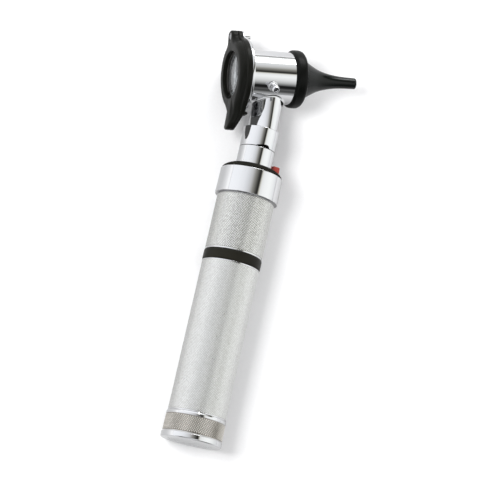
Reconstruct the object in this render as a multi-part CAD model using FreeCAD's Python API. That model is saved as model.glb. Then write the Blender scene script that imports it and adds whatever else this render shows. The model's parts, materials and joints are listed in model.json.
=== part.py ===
import FreeCAD, Part
import math
import os

# Otoscope: battery handle, bayonet neck, head with swing-aside magnifier,
# insufflation nipple and push-on ear speculum.
# Millimetres. Origin at the centre of the handle's flat bottom face, +Z up
# along the handle, +X towards the speculum. On the head, "s" runs forwards
# along the sight line and "h" is height above it, square to it.
# Turned outlines are lists of (radius, height), or (radius, s) on the head.

os.makedirs("parts", exist_ok=True)
Vector = FreeCAD.Vector

# ---------------------------------------------------------------- dimensions
SIGHT_TILT = 13.3          # sight line above horizontal, degrees
SIGHT_Z = 191.1            # height where the sight line crosses the handle axis
FIT = 0.05                 # running clearance
SNUG = 0.02                # clearance of fixed pieces

# handle
CAP_R = 15.05
CAP_LIP_R = 15.3
CAP_FLOOR = 3.0
CAP_Z1 = 13.65
THREAD_R = 14.1            # nominal thread of the tail cap
THREAD_END = 5.5           # lower end of the barrel's threaded part
BARREL_R = 14.6
BARREL_BORE = 13.35
BARREL_Z0 = 13.7
BARREL_Z1 = 125.7
RING_R = 14.75             # ring between the two barrels
RING_Z0 = 91.05
RING_Z1 = 96.1
COUPLER_R = 13.92
COUPLER_DEPTH = 8.0        # depth of its seat in each barrel
CELL_R = 13.1
CELL_LEN = 50.0
CELL_Z0 = 11.0
CELL_TOP = CELL_Z0 + 2 * CELL_LEN
TERMINAL_R = 3.6
TERMINAL_H = 1.5
CONTACT_NECK_R = 2.4       # waist of the positive contact
CONTACT_NECK_Z0 = 113.4
CONTACT_NECK_Z1 = 116.6
CONTACT_Z1 = 118.0
SPIGOT_R = 13.4            # upper barrel's spigot inside the control ring
SPIGOT_BORE = 12.4
PLATE_Z0 = 130.8
PLATE_Z1 = 133.3
CONTROL_R = 15.8
CONTROL_Z0 = BARREL_Z1 + 0.1
CONTROL_Z1 = 139.0
CONTROL_CEILING = 137.3    # underside of the control ring's top wall
DOME_Z1 = 142.5

# lock button
BUTTON_ANGLE = 8.0         # direction from +X towards +Y, degrees
BUTTON_DIST = 11.55        # stem distance from the handle axis
BUTTON_Z0 = 140.6
BUTTON_Z1 = 146.8
BUTTON_X = BUTTON_DIST * math.cos(math.radians(BUTTON_ANGLE))
BUTTON_Y = BUTTON_DIST * math.sin(math.radians(BUTTON_ANGLE))

# bayonet and neck
POST_R = 9.15
POST_BORE = 2.92
POST_FOOT_R = 4.2
POST_Z1 = 151.95
STEM_R = 6.0
STEM_Z1 = 159.0
LUG_R = 7.3
LUG_Z0 = 155.0
LUG_Z1 = 157.0
LUG_ANGLES = (90, 270)
LUG_HALF = 9.0             # half width of a lug, degrees
TWIST = 50.0               # turn between locked and free, degrees
PIN_Z0 = 147.5
NECK_Z0 = 152.15
NECK_Z1 = 162.5
NECK_SEAT_R = 8.0          # seat for the head's foot
NECK_SEAT_Z0 = 159.5

# head
STUB_R = 7.64
STUB_Z0 = 162.7
HEAD_R = 13.45
HEAD_BORE = 11.6
HEAD_S0 = -16.1
HEAD_S1 = 8.0
LAMP_BORE = 4.6
LAMP_R = 3.1
GLASS_Z1 = 175.2
GLASS_CROWN = 3.08         # radius of the glass's domed top
PORT_S = -4.5
PORT_BELOW = 31.0          # port direction below horizontal, degrees
PORT_SHANK_R = 1.5
PORT_R = 2.0               # hose seat radius
PORT_SEAT = 16.3           # hose seat start, from the sight line
PORT_LEN = 2.8             # hose seat length
PORT_RECESS = 13.1         # floor of the seal recess, from the sight line
COLLAR_R = 14.85
COLLAR_S1 = 14.5
FUNNEL_S0, FUNNEL_R0 = -12.3, 11.0    # rear end of the funnel's cone
FUNNEL_S1, FUNNEL_R1 = 20.4, 4.8      # front end

# rear flange, lens frame and pivot
FLANGE_T = 1.25
FLANGE_BORE = 10.9
FLANGE_S0 = HEAD_S0 - FLANGE_T
FRAME_R = 19.06
FRAME_S1 = -17.0
FRAME_EDGE_S = -19.9       # where the frame starts to slope inwards
FRAME_S0 = -22.96
SET_BACK = -0.4            # shift of the frame and its screw behind the flange
PIVOT_H = 20.0
PIVOT_R = 1.2              # shoulder of the pivot screw
SCREW_R = 0.9              # screw ahead of its shoulder
LOBE_H = 19.1              # centre of the frame's pivot lobe
LOBE_R = 4.0
LENS_OPEN_R = 12.2
LENS_R = 12.1
LENS_S0 = -21.5            # rearmost point of the lens
LENS_CROWN = 43.9          # radius of the convex rear face
SNAP_GROOVE_R = 12.5

# Speculum: (s, radius) from base to tip.
SPECULUM_OUTER = [
    (9.2, 10.98), (11.0, 10.98), (12.6, 10.95), (14.2, 10.65), (16.0, 9.78),
    (18.1, 8.56), (21.8, 6.46), (24.5, 5.29), (27.2, 4.47), (30.0, 3.83),
    (32.7, 3.42), (35.5, 3.12), (38.5, 2.98), (43.95, 2.84)]
SPECULUM_INNER = [
    (9.2, 10.48), (12.0, 9.98), (14.5, 9.08), (18.1, 7.68), (20.5, 6.2),
    (24.5, 4.45), (27.2, 3.66), (30.0, 3.05), (32.7, 2.66), (35.5, 2.4),
    (38.5, 2.26), (43.95, 2.14)]
# Centre line of the light guide's bundle: (h, s) from lamp to front.
GUIDE_PATH = [(-15.05, -3.56), (-12.7, -2.85), (-10.4, -0.6),
              (-9.3, 3.6), (-8.45, 8.5), (-7.3, 14.2)]

# ---------------------------------------------------------------- helpers
TILT = math.radians(SIGHT_TILT)
# Local X, Y, Z become h, -Y and s.
HEAD = FreeCAD.Placement(FreeCAD.Matrix(
    -math.sin(TILT), 0, math.cos(TILT), 0,
    0, -1, 0, 0,
    math.cos(TILT), 0, math.sin(TILT), SIGHT_Z,
    0, 0, 0, 1))


def face(points):
    return Part.Face(Part.makePolygon(points + [points[0]]))


def revolve(outline, start=0.0, end=360.0):
    """Solid of revolution about Z between two angles, in degrees."""
    section = face([Vector(r, 0, z) for r, z in outline])
    if start:
        section.rotate(Vector(0, 0, 0), Vector(0, 0, 1), start)
    return section.revolve(Vector(0, 0, 0), Vector(0, 0, 1), end - start)


def tube(outer, inner, z0, z1, start=0.0, end=360.0):
    """Tube, or a sector of one; an inner radius of 0 gives a full cylinder."""
    if inner <= 0:
        return Part.makeCylinder(outer, z1 - z0, Vector(0, 0, z0))
    return revolve([(inner, z0), (outer, z0), (outer, z1), (inner, z1)], start, end)


def solid(shape):
    """Merges split faces and unwraps a single solid."""
    shape = shape.removeSplitter()
    return shape.Solids[0] if len(shape.Solids) == 1 else shape


def placed(shape, placement):
    shape = shape.copy()
    shape.Placement = placement.multiply(shape.Placement)
    return shape


def to_head(shape):
    return placed(shape, HEAD)


def to_frame(shape):
    """To the head, set back with the lens frame."""
    shape.translate(Vector(0, 0, SET_BACK))
    return to_head(shape)


def to_port(shape):
    """Lays local +Z along the port, out from the sight line on the -Y side."""
    below = math.radians(PORT_BELOW)
    outward = Vector(-math.sin(below), math.cos(below), 0)
    rotation = FreeCAD.Rotation(Vector(0, 0, 1), outward)
    port = FreeCAD.Placement(Vector(0, 0, PORT_S), rotation)
    return placed(shape, HEAD.multiply(port))


def at_pivot(shape):
    shape.translate(Vector(PIVOT_H, 0, 0))
    return shape


def pivot_cylinder(radius, length, s0):
    return Part.makeCylinder(radius, length, Vector(PIVOT_H, 0, s0))


def save(name, shape):
    shape = solid(shape)
    if not shape.Solids or not shape.isValid():
        raise ValueError(name + " is empty or not valid")
    shape.exportStep("parts/" + name + ".step")


def coil(radius, wire_r, z0, z1, pitch):
    """Round-wire coil spring between z0 and z1 with cut ends."""
    helix = Part.makeHelix(pitch, z1 - z0 - 2 * wire_r, radius)
    circle = Part.makeCircle(wire_r, Vector(radius, 0, 0), Vector(0, 1, 0))
    spring = Part.Wire(helix.Edges).makePipeShell([Part.Wire(circle)], True, True)
    spring.translate(Vector(0, 0, z0 + wire_r))
    return spring


def lobed(radius, lobe_h, lobe_r, blend_r, z):
    """Circle with one lobe of end radius lobe_r centred at lobe_h on X."""
    side = 1 if lobe_h > 0 else -1
    to_circle, to_lobe, span = radius + blend_r, lobe_r + blend_r, abs(lobe_h)
    x = (to_circle ** 2 - to_lobe ** 2 + span ** 2) / (2 * span)
    y = math.sqrt(to_circle ** 2 - x * x)
    # Centre of the blend arc, its two tangent points and its middle.
    cx, cy = side * x, side * y
    on_circle = (cx * radius / to_circle, cy * radius / to_circle)
    on_lobe = (lobe_h + (cx - lobe_h) * lobe_r / to_lobe, cy * lobe_r / to_lobe)
    dx = (on_circle[0] + on_lobe[0]) / 2 - cx
    dy = (on_circle[1] + on_lobe[1]) / 2 - cy
    scale = blend_r / math.hypot(dx, dy)
    middle = (cx + dx * scale, cy + dy * scale)
    blend = [on_lobe, middle, on_circle]
    mirrored = [(px, -py) for px, py in reversed(blend)]
    loop = mirrored + [(lobe_h + side * lobe_r, 0)] + blend
    loop += [(0, side * radius), (-side * radius, 0), (0, -side * radius), mirrored[0]]
    points = [Vector(px, py, z) for px, py in loop]
    # Every second point is the middle of an arc.
    arcs = [Part.Arc(*points[i:i + 3]).toShape() for i in range(0, 10, 2)]
    return Part.Wire(Part.__sortEdges__(arcs))


def prism(wire, height):
    return Part.Face(wire).extrude(Vector(0, 0, height))


def slab(outline, y0, width):
    """Extrudes an (h, s) outline along local Y."""
    return face([Vector(h, y0, s) for h, s in outline]).extrude(Vector(0, width, 0))


# ---------------------------------------------------------------- handle
# Tail cap: cup with an inside thread seat, lip, band and bevel.
save("tail_cap", revolve([
    (0, 0), (CAP_LIP_R - 0.6, 0), (CAP_LIP_R - 0.15, 0.2), (CAP_LIP_R, 0.7),
    (CAP_LIP_R, 2.9), (CAP_R - 0.1, 3.3), (CAP_R, 3.5), (CAP_R, 11.6),
    (CAP_R - 0.15, 11.9), (CAP_R - 0.15, 13.0), (BARREL_R, CAP_Z1),
    (THREAD_R + SNUG, CAP_Z1), (THREAD_R + SNUG, CAP_FLOOR + 1.2),
    (12.6, CAP_FLOOR + 1.2), (12.6, CAP_FLOOR), (0, CAP_FLOOR)]))
# Rubber ring on the cap's inner ledge.
save("tail_seal", tube(14.0, 12.9, CAP_FLOOR + 1.2 + SNUG, THREAD_END - 0.05))
# Contact spring between the cap's floor and the lower cell.
save("tail_spring", coil(radius=6.0, wire_r=0.45, z0=CAP_FLOOR + SNUG,
                         z1=CELL_Z0 - SNUG, pitch=2.3))

# Lower barrel: threaded reduced end below, counterbore above.
save("lower_barrel", revolve([
    (BARREL_BORE, THREAD_END), (THREAD_R, THREAD_END), (THREAD_R, BARREL_Z0),
    (BARREL_R, BARREL_Z0), (BARREL_R, RING_Z0 - 0.35),
    (BARREL_R - 0.3, RING_Z0 - SNUG), (COUPLER_R, RING_Z0 - SNUG),
    (COUPLER_R, RING_Z0 - COUPLER_DEPTH), (BARREL_BORE, RING_Z0 - COUPLER_DEPTH)]))
# Upper barrel: counterbore below, spigot above.
save("upper_barrel", revolve([
    (BARREL_BORE, RING_Z1 + COUPLER_DEPTH), (COUPLER_R, RING_Z1 + COUPLER_DEPTH),
    (COUPLER_R, RING_Z1 + SNUG), (BARREL_R - 0.3, RING_Z1 + SNUG),
    (BARREL_R, RING_Z1 + 0.35), (BARREL_R, BARREL_Z1),
    (SPIGOT_R, BARREL_Z1), (SPIGOT_R, 137.0), (SPIGOT_BORE, 137.0),
    (SPIGOT_BORE, 129.0), (BARREL_BORE, 127.5)]))
# Ring between the barrels, and the coupler inside all three.
save("barrel_ring", revolve([
    (COUPLER_R + SNUG, RING_Z0), (RING_R - 0.5, RING_Z0),
    (RING_R - 0.12, RING_Z0 + 0.18), (RING_R, RING_Z0 + 0.6),
    (RING_R, RING_Z1 - 0.6), (RING_R - 0.12, RING_Z1 - 0.18),
    (RING_R - 0.5, RING_Z1), (COUPLER_R + SNUG, RING_Z1)]))
save("barrel_coupler", tube(COUPLER_R - SNUG, BARREL_BORE - 0.05,
                            RING_Z0 - COUPLER_DEPTH + 0.1,
                            RING_Z1 + COUPLER_DEPTH - 0.1))


def cell(z0):
    """Battery cell without its terminal."""
    z1 = z0 + CELL_LEN
    top = z1 - TERMINAL_H
    return revolve([
        (0, z0 + 0.25), (CELL_R - 1.6, z0 + 0.25), (CELL_R - 0.8, z0),
        (CELL_R, z0 + 0.6), (CELL_R, z1 - 2.0), (CELL_R - 0.7, top),
        (4.0, top), (0, top)])


def terminal(z1):
    z0 = z1 - TERMINAL_H
    return solid(revolve([(0, z0), (TERMINAL_R, z0), (TERMINAL_R, z0 + 1.0),
                          (TERMINAL_R - 0.5, z1), (0, z1)]))


save("battery_lower", cell(CELL_Z0))
save("battery_upper", cell(CELL_Z0 + CELL_LEN))
# The lower terminal is kept below the upper cell's recessed base.
recess = tube(20, 0, CELL_Z0 + CELL_LEN + 0.25, 200)
save("battery_terminals", Part.makeCompound([
    solid(terminal(CELL_Z0 + CELL_LEN).cut(recess)), terminal(CELL_TOP)]))

# Positive contact: button with a waist held by the insulating carrier.
save("positive_contact", revolve([
    (0, CELL_TOP + 0.05), (3.6, CELL_TOP + 0.05), (4.0, CELL_TOP + 0.4),
    (4.0, CONTACT_NECK_Z0), (CONTACT_NECK_R, CONTACT_NECK_Z0),
    (CONTACT_NECK_R, CONTACT_NECK_Z1), (3.3, CONTACT_NECK_Z1), (3.3, 117.4),
    (2.6, CONTACT_Z1), (0, CONTACT_Z1)]))
save("contact_carrier", tube(BARREL_BORE - SNUG, CONTACT_NECK_R + SNUG,
                             CONTACT_NECK_Z0 + 0.05, CONTACT_NECK_Z1 - 0.05))

# Insulating plate across the top of the handle.
save("top_plate", tube(SPIGOT_BORE - SNUG, POST_FOOT_R + SNUG, PLATE_Z0, PLATE_Z1))
# Resistive track: open ring on the plate.
save("rheostat_track", tube(12.2, 9.45, PLATE_Z1 + SNUG, 134.5).cut(
    tube(13.0, 9.0, 133.0, 135.0, 95, 135)))


def bayonet_post():
    """Threaded foot, visible sleeve, and stem with two lugs."""
    post = revolve([
        (POST_BORE, 128.2), (POST_FOOT_R, 128.2), (POST_FOOT_R, PLATE_Z1 + SNUG),
        (POST_R, PLATE_Z1 + SNUG), (POST_R, POST_Z1 - 0.25), (POST_R - 0.25, POST_Z1),
        (STEM_R, POST_Z1), (STEM_R, STEM_Z1 - 0.6), (STEM_R - 0.6, STEM_Z1),
        (POST_BORE, STEM_Z1)])
    for angle in LUG_ANGLES:
        post = post.fuse(tube(LUG_R, STEM_R - 0.6, LUG_Z0, LUG_Z1,
                              angle - LUG_HALF, angle + LUG_HALF))
    return post


def post_nut(corner_r=6.6, z0=128.3):
    """Hexagon nut under the top plate."""
    corners = [math.radians(60 * i) for i in range(6)]
    hexagon = face([Vector(corner_r * math.cos(a), corner_r * math.sin(a), z0)
                    for a in corners]).extrude(Vector(0, 0, PLATE_Z0 - SNUG - z0))
    return hexagon.cut(tube(POST_FOOT_R + SNUG, 0, 127, 132))


save("bayonet_post", bayonet_post())
save("post_nut", post_nut())
save("post_insulator", revolve([
    (2.35, 126.6), (POST_BORE - SNUG, 126.6), (POST_BORE - SNUG, 159.3),
    (1.3, 159.3), (1.3, 150.0), (2.35, 150.0)]))
save("contact_pin", revolve([
    (0, PIN_Z0), (1.5, PIN_Z0), (1.5, 147.6), (2.2, 147.6), (2.2, 149.8),
    (1.25, 149.8), (1.25, 160.9), (0.9, 161.3), (0, 161.3)]))
save("contact_pin_spring", coil(radius=1.9, wire_r=0.25, z0=CONTACT_Z1 + SNUG,
                                z1=PIN_Z0 - SNUG, pitch=2.1))

# Control ring: collar turning on the upper barrel's spigot, bored for the
# button's stem.
control = revolve([
    (SPIGOT_R + FIT, CONTROL_Z0), (CONTROL_R - 0.1, CONTROL_Z0),
    (CONTROL_R + 0.2, BARREL_Z1 + 0.4), (CONTROL_R + 0.2, BARREL_Z1 + 0.9),
    (CONTROL_R, BARREL_Z1 + 1.2), (CONTROL_R, CONTROL_Z1 - 0.3),
    (CONTROL_R - 0.3, CONTROL_Z1), (9.6, CONTROL_Z1), (9.6, CONTROL_CEILING),
    (SPIGOT_R + FIT, CONTROL_CEILING)])
save("control_ring", control.cut(
    Part.makeCylinder(0.85, 10, Vector(BUTTON_X, BUTTON_Y, 133))))


def button_block(grow, z0, z1):
    """Button outline along +X, grown all round by a clearance."""
    block = Part.makeBox(4.6 + 2 * grow, 4.0 + 2 * grow, z1 - z0,
                         Vector(9.95 - grow, -2.0 - grow, z0))
    return block.common(tube(14.15 + grow, 9.0, z0, z1))


def turned(shape, angle):
    shape.rotate(Vector(0, 0, 0), Vector(0, 0, 1), angle)
    return shape


def lock_button():
    """Rounded block, recessed below for its spring, on a thin stem."""
    block = button_block(0, BUTTON_Z0, BUTTON_Z1)
    block = block.makeFillet(0.6, [
        edge for edge in block.Edges
        if abs(edge.Vertexes[0].Z - edge.Vertexes[-1].Z) > 1.0])
    block = block.makeFillet(0.45, [
        edge for edge in block.Edges
        if all(abs(vertex.Z - BUTTON_Z1) < 1e-6 for vertex in edge.Vertexes)])
    block = turned(block, BUTTON_ANGLE)
    block = block.cut(Part.makeCylinder(1.55, 2.0, Vector(BUTTON_X, BUTTON_Y, BUTTON_Z0)))
    return block.fuse(Part.makeCylinder(0.78, 6.2, Vector(BUTTON_X, BUTTON_Y, 137.2)))


# Domed cap on the control ring, open for the button.
dome = revolve([
    (9.4, CONTROL_Z1 + SNUG), (15.5, CONTROL_Z1 + SNUG), (15.5, 139.5),
    (14.9, 140.35), (13.7, 141.35), (12.3, 142.05), (11.1, 142.43),
    (10.4, DOME_Z1), (9.4, DOME_Z1)])
save("ring_cap", dome.cut(turned(button_block(0.12, 138.0, 150.0), BUTTON_ANGLE)))
save("lock_button", lock_button())
button_spring = coil(radius=1.2, wire_r=0.28, z0=139.03, z1=142.55, pitch=0.9)
button_spring.translate(Vector(BUTTON_X, BUTTON_Y, 0))
save("button_spring", button_spring)


def rheostat_wiper(finger_x=10.1, foot_r=0.45, length=1.6, z0=134.52):
    """Ring segment under the collar with a finger down to the track."""
    finger = Part.makeBox(length, 0.3, 2.6, Vector(finger_x, -0.15, z0))
    foot = Part.makeCylinder(foot_r, length, Vector(finger_x, 0, z0 + foot_r),
                             Vector(1, 0, 0))
    finger = finger.cut(Part.makeBox(3, 1, 0.5, Vector(9.5, -0.5, 134.4))).fuse(foot)
    segment = tube(12.3, 9.7, 137.0, 137.28, 60, 160)
    return segment.fuse(turned(finger, 110))


save("rheostat_wiper", rheostat_wiper())


# ---------------------------------------------------------------- neck
def neck_sleeve():
    """Sleeve with two bayonet slots and a ramped notch in its lower edge."""
    neck = revolve([
        (STEM_R + FIT, NECK_Z0), (POST_R - 0.2, NECK_Z0), (POST_R, NECK_Z0 + 0.2),
        (POST_R, NECK_Z1 - 0.3), (POST_R - 0.3, NECK_Z1), (NECK_SEAT_R, NECK_Z1),
        (NECK_SEAT_R, NECK_SEAT_Z0), (STEM_R + FIT, NECK_SEAT_Z0)])
    half = LUG_HALF + 1.0
    for angle in LUG_ANGLES:
        free = angle - TWIST
        # Groove the lug turns in, then its entry from below.
        for z0, end in ((LUG_Z0 - 0.1, angle + half), (NECK_Z0 - 1, free + half)):
            neck = neck.cut(tube(LUG_R + FIT, 5.5, z0, LUG_Z1 + 0.1, free - half, end))
    # Notch (y, height above the lower edge), cut on the -Y side.
    ramp = [(-3.4, -1), (-3.4, 0.15), (-1.2, 0.9), (2.6, 1.5), (3.6, 0.2), (3.6, -1)]
    notch = face([Vector(0, y, NECK_Z0 + z) for y, z in ramp]).extrude(Vector(12, 0, 0))
    notch = notch.cut(tube(8.2, 0, 150, 156))
    return neck.cut(turned(notch, -90))


save("neck_sleeve", neck_sleeve())


# ---------------------------------------------------------------- head
def head_housing():
    """Tilted barrel on an upright stub, filleted where they meet."""
    barrel = tube(HEAD_R, 0, HEAD_S0, HEAD_S1)
    barrel = barrel.makeChamfer(0.35, [
        edge for edge in barrel.Edges
        if abs(edge.BoundBox.ZMin - HEAD_S1) < 1e-6
        and abs(edge.BoundBox.ZMax - HEAD_S1) < 1e-6])
    body = to_head(barrel).fuse(tube(STUB_R, 0, STUB_Z0, 184.0))
    saddle = []
    for edge in body.Edges:
        if edge.Curve.TypeId not in ("Part::GeomLine", "Part::GeomCircle"):
            middle = edge.valueAt((edge.FirstParameter + edge.LastParameter) / 2)
            if abs(math.hypot(middle.x, middle.y) - STUB_R) < 0.05:
                saddle.append(edge)
    body = body.makeFillet(1.6, saddle)
    # Foot in the neck's seat, overlapping the stub slightly.
    body = body.fuse(tube(NECK_SEAT_R - SNUG, 0, NECK_SEAT_Z0 + 0.05, STUB_Z0 + 0.01))
    body = body.cut(to_head(tube(HEAD_BORE, 0, HEAD_S0 - 1, HEAD_S1 + 1)))
    body = body.cut(tube(LAMP_BORE, 0, 158, 175.8)).cut(tube(2.6, 0, 175, 182))
    # Port hole and its seal recess.
    body = body.cut(to_port(tube(PORT_SHANK_R + SNUG, 0, 8, 20)))
    return body.cut(to_port(tube(2.6, 0, PORT_RECESS, 20)))


save("head_housing", head_housing())

# Port: (radius, distance from the sight line).
save("insufflation_port", to_port(revolve([
    (0.7, 11.5), (PORT_SHANK_R, 11.5), (PORT_SHANK_R, 13.42), (2.55, 13.42),
    (2.55, 14.3), (2.35, 14.5), (1.6, 14.5), (1.5, 14.8), (1.5, 15.8),
    (PORT_R, PORT_SEAT), (PORT_R, PORT_SEAT + PORT_LEN), (1.7, 19.6), (1.2, 19.9),
    (0.7, 19.9)])))
save("port_seal", to_port(tube(2.5, 1.55, PORT_RECESS + SNUG, 13.4)))

# Lamp in the neck: base, domed glass, bottom contact and holder.
save("lamp_base", revolve([
    (0, 162.6), (4.4, 162.6), (4.5, 162.7), (4.5, 163.4), (LAMP_R, 163.4),
    (LAMP_R, 169.2), (2.9, 169.5), (0, 169.5)]))
save("lamp_glass", tube(2.7, 0, 169.52, GLASS_Z1).common(
    Part.makeSphere(GLASS_CROWN, Vector(0, 0, GLASS_Z1 - GLASS_CROWN))))
save("lamp_contact", revolve([(0, 161.35), (0.8, 161.35), (1.3, 161.7),
                              (1.3, 162.58), (0, 162.58)]))
save("lamp_holder", tube(LAMP_BORE - SNUG, LAMP_R + SNUG, 163.45, 171.0))


def rear_flange():
    """Thin plate with a top lobe and a spigot in the head's bore."""
    flange = prism(lobed(FRAME_R, PIVOT_H - 0.3, 3.3, 4.0, FLANGE_S0), FLANGE_T - 0.01)
    flange = flange.fuse(tube(HEAD_BORE - SNUG, FLANGE_BORE,
                              HEAD_S0 - 0.5, HEAD_S0 + 3.0))
    flange = flange.cut(tube(FLANGE_BORE, 0, HEAD_S0 - 2, HEAD_S0 + 4))
    # Groove for the seal ring in the rear face.
    flange = flange.cut(tube(14.2, 12.6, HEAD_S0 - 2, FLANGE_S0 + 0.45))
    return flange.cut(pivot_cylinder(SCREW_R + SNUG, 3, HEAD_S0 - 2))


save("rear_flange", to_head(rear_flange()))
save("rear_seal_ring", to_head(tube(14.15, 12.65, FLANGE_S0 + 0.01, FLANGE_S0 + 0.43)))


def lens_frame():
    """Ring, full-thickness top lobe on the pivot, rear-swept finger tab."""
    edge = lobed(FRAME_R, LOBE_H, LOBE_R, 5.0, FRAME_EDGE_S)
    base = prism(edge, FRAME_S1 - FRAME_EDGE_S)
    slope = Part.makeLoft([edge, lobed(16.6, LOBE_H - 0.1, LOBE_R - 0.1, 7.0, FRAME_S0)],
                          True, True)
    frame = base.fuse(slope)
    # Finger tab at the bottom: plan outline common with side outline.
    tab = prism(lobed(17.4, -23.6, 4.9, 16.0, -27), 13).common(slab([
        (-12, FRAME_S1), (-19.9, FRAME_S1), (-21.6, -17.7), (-28.5, -21.3),
        (-28.5, -24.3), (-28.0, -25.4), (-26.9, -25.9), (-25.4, -25.75),
        (-17.5, FRAME_S0), (-12, FRAME_S0)], -8, 16))
    # Small nib on the tab's front, trimmed by an arc about the pivot.
    nib = slab([(-17.6, -18.8), (-18.9, -16.9), (-19.8, -15.5), (-20.3, -15.1),
                (-20.9, -15.3), (-21.6, -18.9)], 0.7, 4.6)
    nib = nib.cut(pivot_cylinder(PIVOT_H + 19.4, 10, FRAME_S1))
    frame = frame.fuse(tab).fuse(nib)
    # Lens seat, sight opening and retaining ring groove.
    frame = frame.cut(tube(LENS_OPEN_R, 0, -30, -17.9)).cut(tube(11.2, 0, -19, -16))
    frame = frame.cut(tube(SNAP_GROOVE_R, 11.5, -20.76, -19.95))
    # Pivot hole and the recess for the screw's head.
    frame = frame.cut(pivot_cylinder(PIVOT_R + FIT, 10, -25))
    return frame.cut(pivot_cylinder(2.05, 5, -26.4))


save("lens_frame", to_frame(lens_frame()))
# Plano-convex magnifier, convex to the rear.
save("magnifier_lens", to_frame(tube(LENS_R, 0, LENS_S0, -17.95).common(
    Part.makeSphere(LENS_CROWN, Vector(0, 0, LENS_S0 + LENS_CROWN)))))
save("lens_retaining_ring", to_frame(
    tube(SNAP_GROOVE_R - SNUG, 11.75, -20.73, -19.98, 236, 236 + 350)))

# Pivot: slotted shoulder screw, spring washer, nut ahead of the flange.
screw = revolve([
    (0, -22.8), (1.65, -22.8), (1.9, -22.55), (1.9, -21.75), (PIVOT_R, -21.75),
    (PIVOT_R, -16.97), (SCREW_R, -16.97), (SCREW_R, -13.0), (0, -13.0)])
screw = screw.cut(Part.makeBox(6, 0.5, 0.55, Vector(-3, -0.25, -22.9)))
save("pivot_screw", to_frame(at_pivot(screw)))
save("wave_washer", to_frame(at_pivot(tube(1.9, PIVOT_R + SNUG, -21.72, -21.42))))
save("pivot_nut", to_head(at_pivot(revolve([
    (SCREW_R + SNUG, -16.09), (2.4, -16.09), (2.4, -15.5), (1.85, -15.5),
    (1.85, -13.2), (1.5, -12.8), (SCREW_R + SNUG, -12.8)]))))

# Viewing funnel: cone from the rear of the bore to the front ring, with a
# hole in line with the port.
funnel = revolve([
    (10.5, -12.9), (HEAD_BORE - SNUG, -12.9), (HEAD_BORE - SNUG, FUNNEL_S0),
    (FUNNEL_R0, FUNNEL_S0), (FUNNEL_R1, FUNNEL_S1), (4.3, FUNNEL_S1)])
save("viewing_funnel", to_head(funnel).cut(to_port(tube(0.8, 0, 6, 14))))

# Front collar: ring with a spigot in the bore.
save("front_collar", to_head(revolve([
    (10.6, 5.02), (HEAD_BORE - SNUG, 5.02), (HEAD_BORE - SNUG, HEAD_S1 + SNUG),
    (13.6, HEAD_S1 + SNUG), (14.25, 8.3), (14.65, 8.8), (COLLAR_R, 9.7),
    (COLLAR_R, 12.1), (14.7, 13.0), (14.2, 13.75), (13.4, 14.3),
    (12.6, COLLAR_S1), (11.5, COLLAR_S1), (11.2, 14.2), (11.2, 8.6), (10.6, 8.6)])))


def speculum():
    """Thin hollow ear tip with smooth outlines and a rounded end."""
    edges = []
    for stations in (SPECULUM_OUTER, SPECULUM_INNER):
        curve = Part.BSplineCurve()
        curve.interpolate([Vector(r, 0, s) for s, r in stations])
        edges.append(curve.toShape())
    (s_out, r_out), (s_in, r_in) = SPECULUM_OUTER[0], SPECULUM_INNER[0]
    edges.append(Part.makeLine(Vector(r_out, 0, s_out), Vector(r_in, 0, s_in)))
    (s_out, r_out), (s_in, r_in) = SPECULUM_OUTER[-1], SPECULUM_INNER[-1]
    crest = Vector((r_out + r_in) / 2 + 0.1, 0, max(s_out, s_in) + 0.55)
    edges.append(Part.Arc(Vector(r_out, 0, s_out), crest,
                          Vector(r_in, 0, s_in)).toShape())
    section = Part.Face(Part.Wire(Part.__sortEdges__(edges)))
    return section.revolve(Vector(0, 0, 0), Vector(0, 0, 1), 360)


save("speculum", to_head(speculum()))


def guide_sweep(radius):
    """Round bar along the light guide's path."""
    points = [Vector(h, 0, s) for h, s in GUIDE_PATH]
    path = Part.BSplineCurve()
    path.interpolate(points)
    tangent = path.tangent(path.FirstParameter)[0]
    circle = Part.Wire(Part.makeCircle(radius, points[0], tangent))
    return Part.Wire(path.toShape()).makePipeShell([circle], True, True)


def funnel_r(s):
    """Outer radius of the viewing funnel, plus the guide ring's clearance."""
    slope = (FUNNEL_R1 - FUNNEL_R0) / (FUNNEL_S1 - FUNNEL_S0)
    return FUNNEL_R0 + (s - FUNNEL_S0) * slope


# Speculum holder: cone clamped in the front of the bore, cleared for the bundle.
holder = revolve([
    (9.6, 3.5), (HEAD_BORE - SNUG, 3.5), (HEAD_BORE - SNUG, 5.0), (10.4, 5.0),
    (10.4, 9.0), (9.9, 12.0), (9.0, 14.5), (7.6, 18.1), (6.05, 20.5),
    (5.4, 20.5), (6.9, 18.1), (8.2, 15.0), (9.1, 12.0), (9.6, 9.0)])
save("speculum_holder", to_head(holder.cut(guide_sweep(1.15))))

# Light guide: bundle from the lamp, fused to its ring around the funnel.
guide_ring = revolve([
    (funnel_r(13.6) + 0.06, 13.6), (funnel_r(13.6) + 1.7, 13.6),
    (5.3, 20.35), (funnel_r(20.35) + 0.06, 20.35)])
save("light_guide", to_head(guide_ring.fuse(guide_sweep(1.0))))
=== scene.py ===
import bpy
import bmesh
import json
import math
import numpy as np
from mathutils import Vector, Matrix


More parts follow.
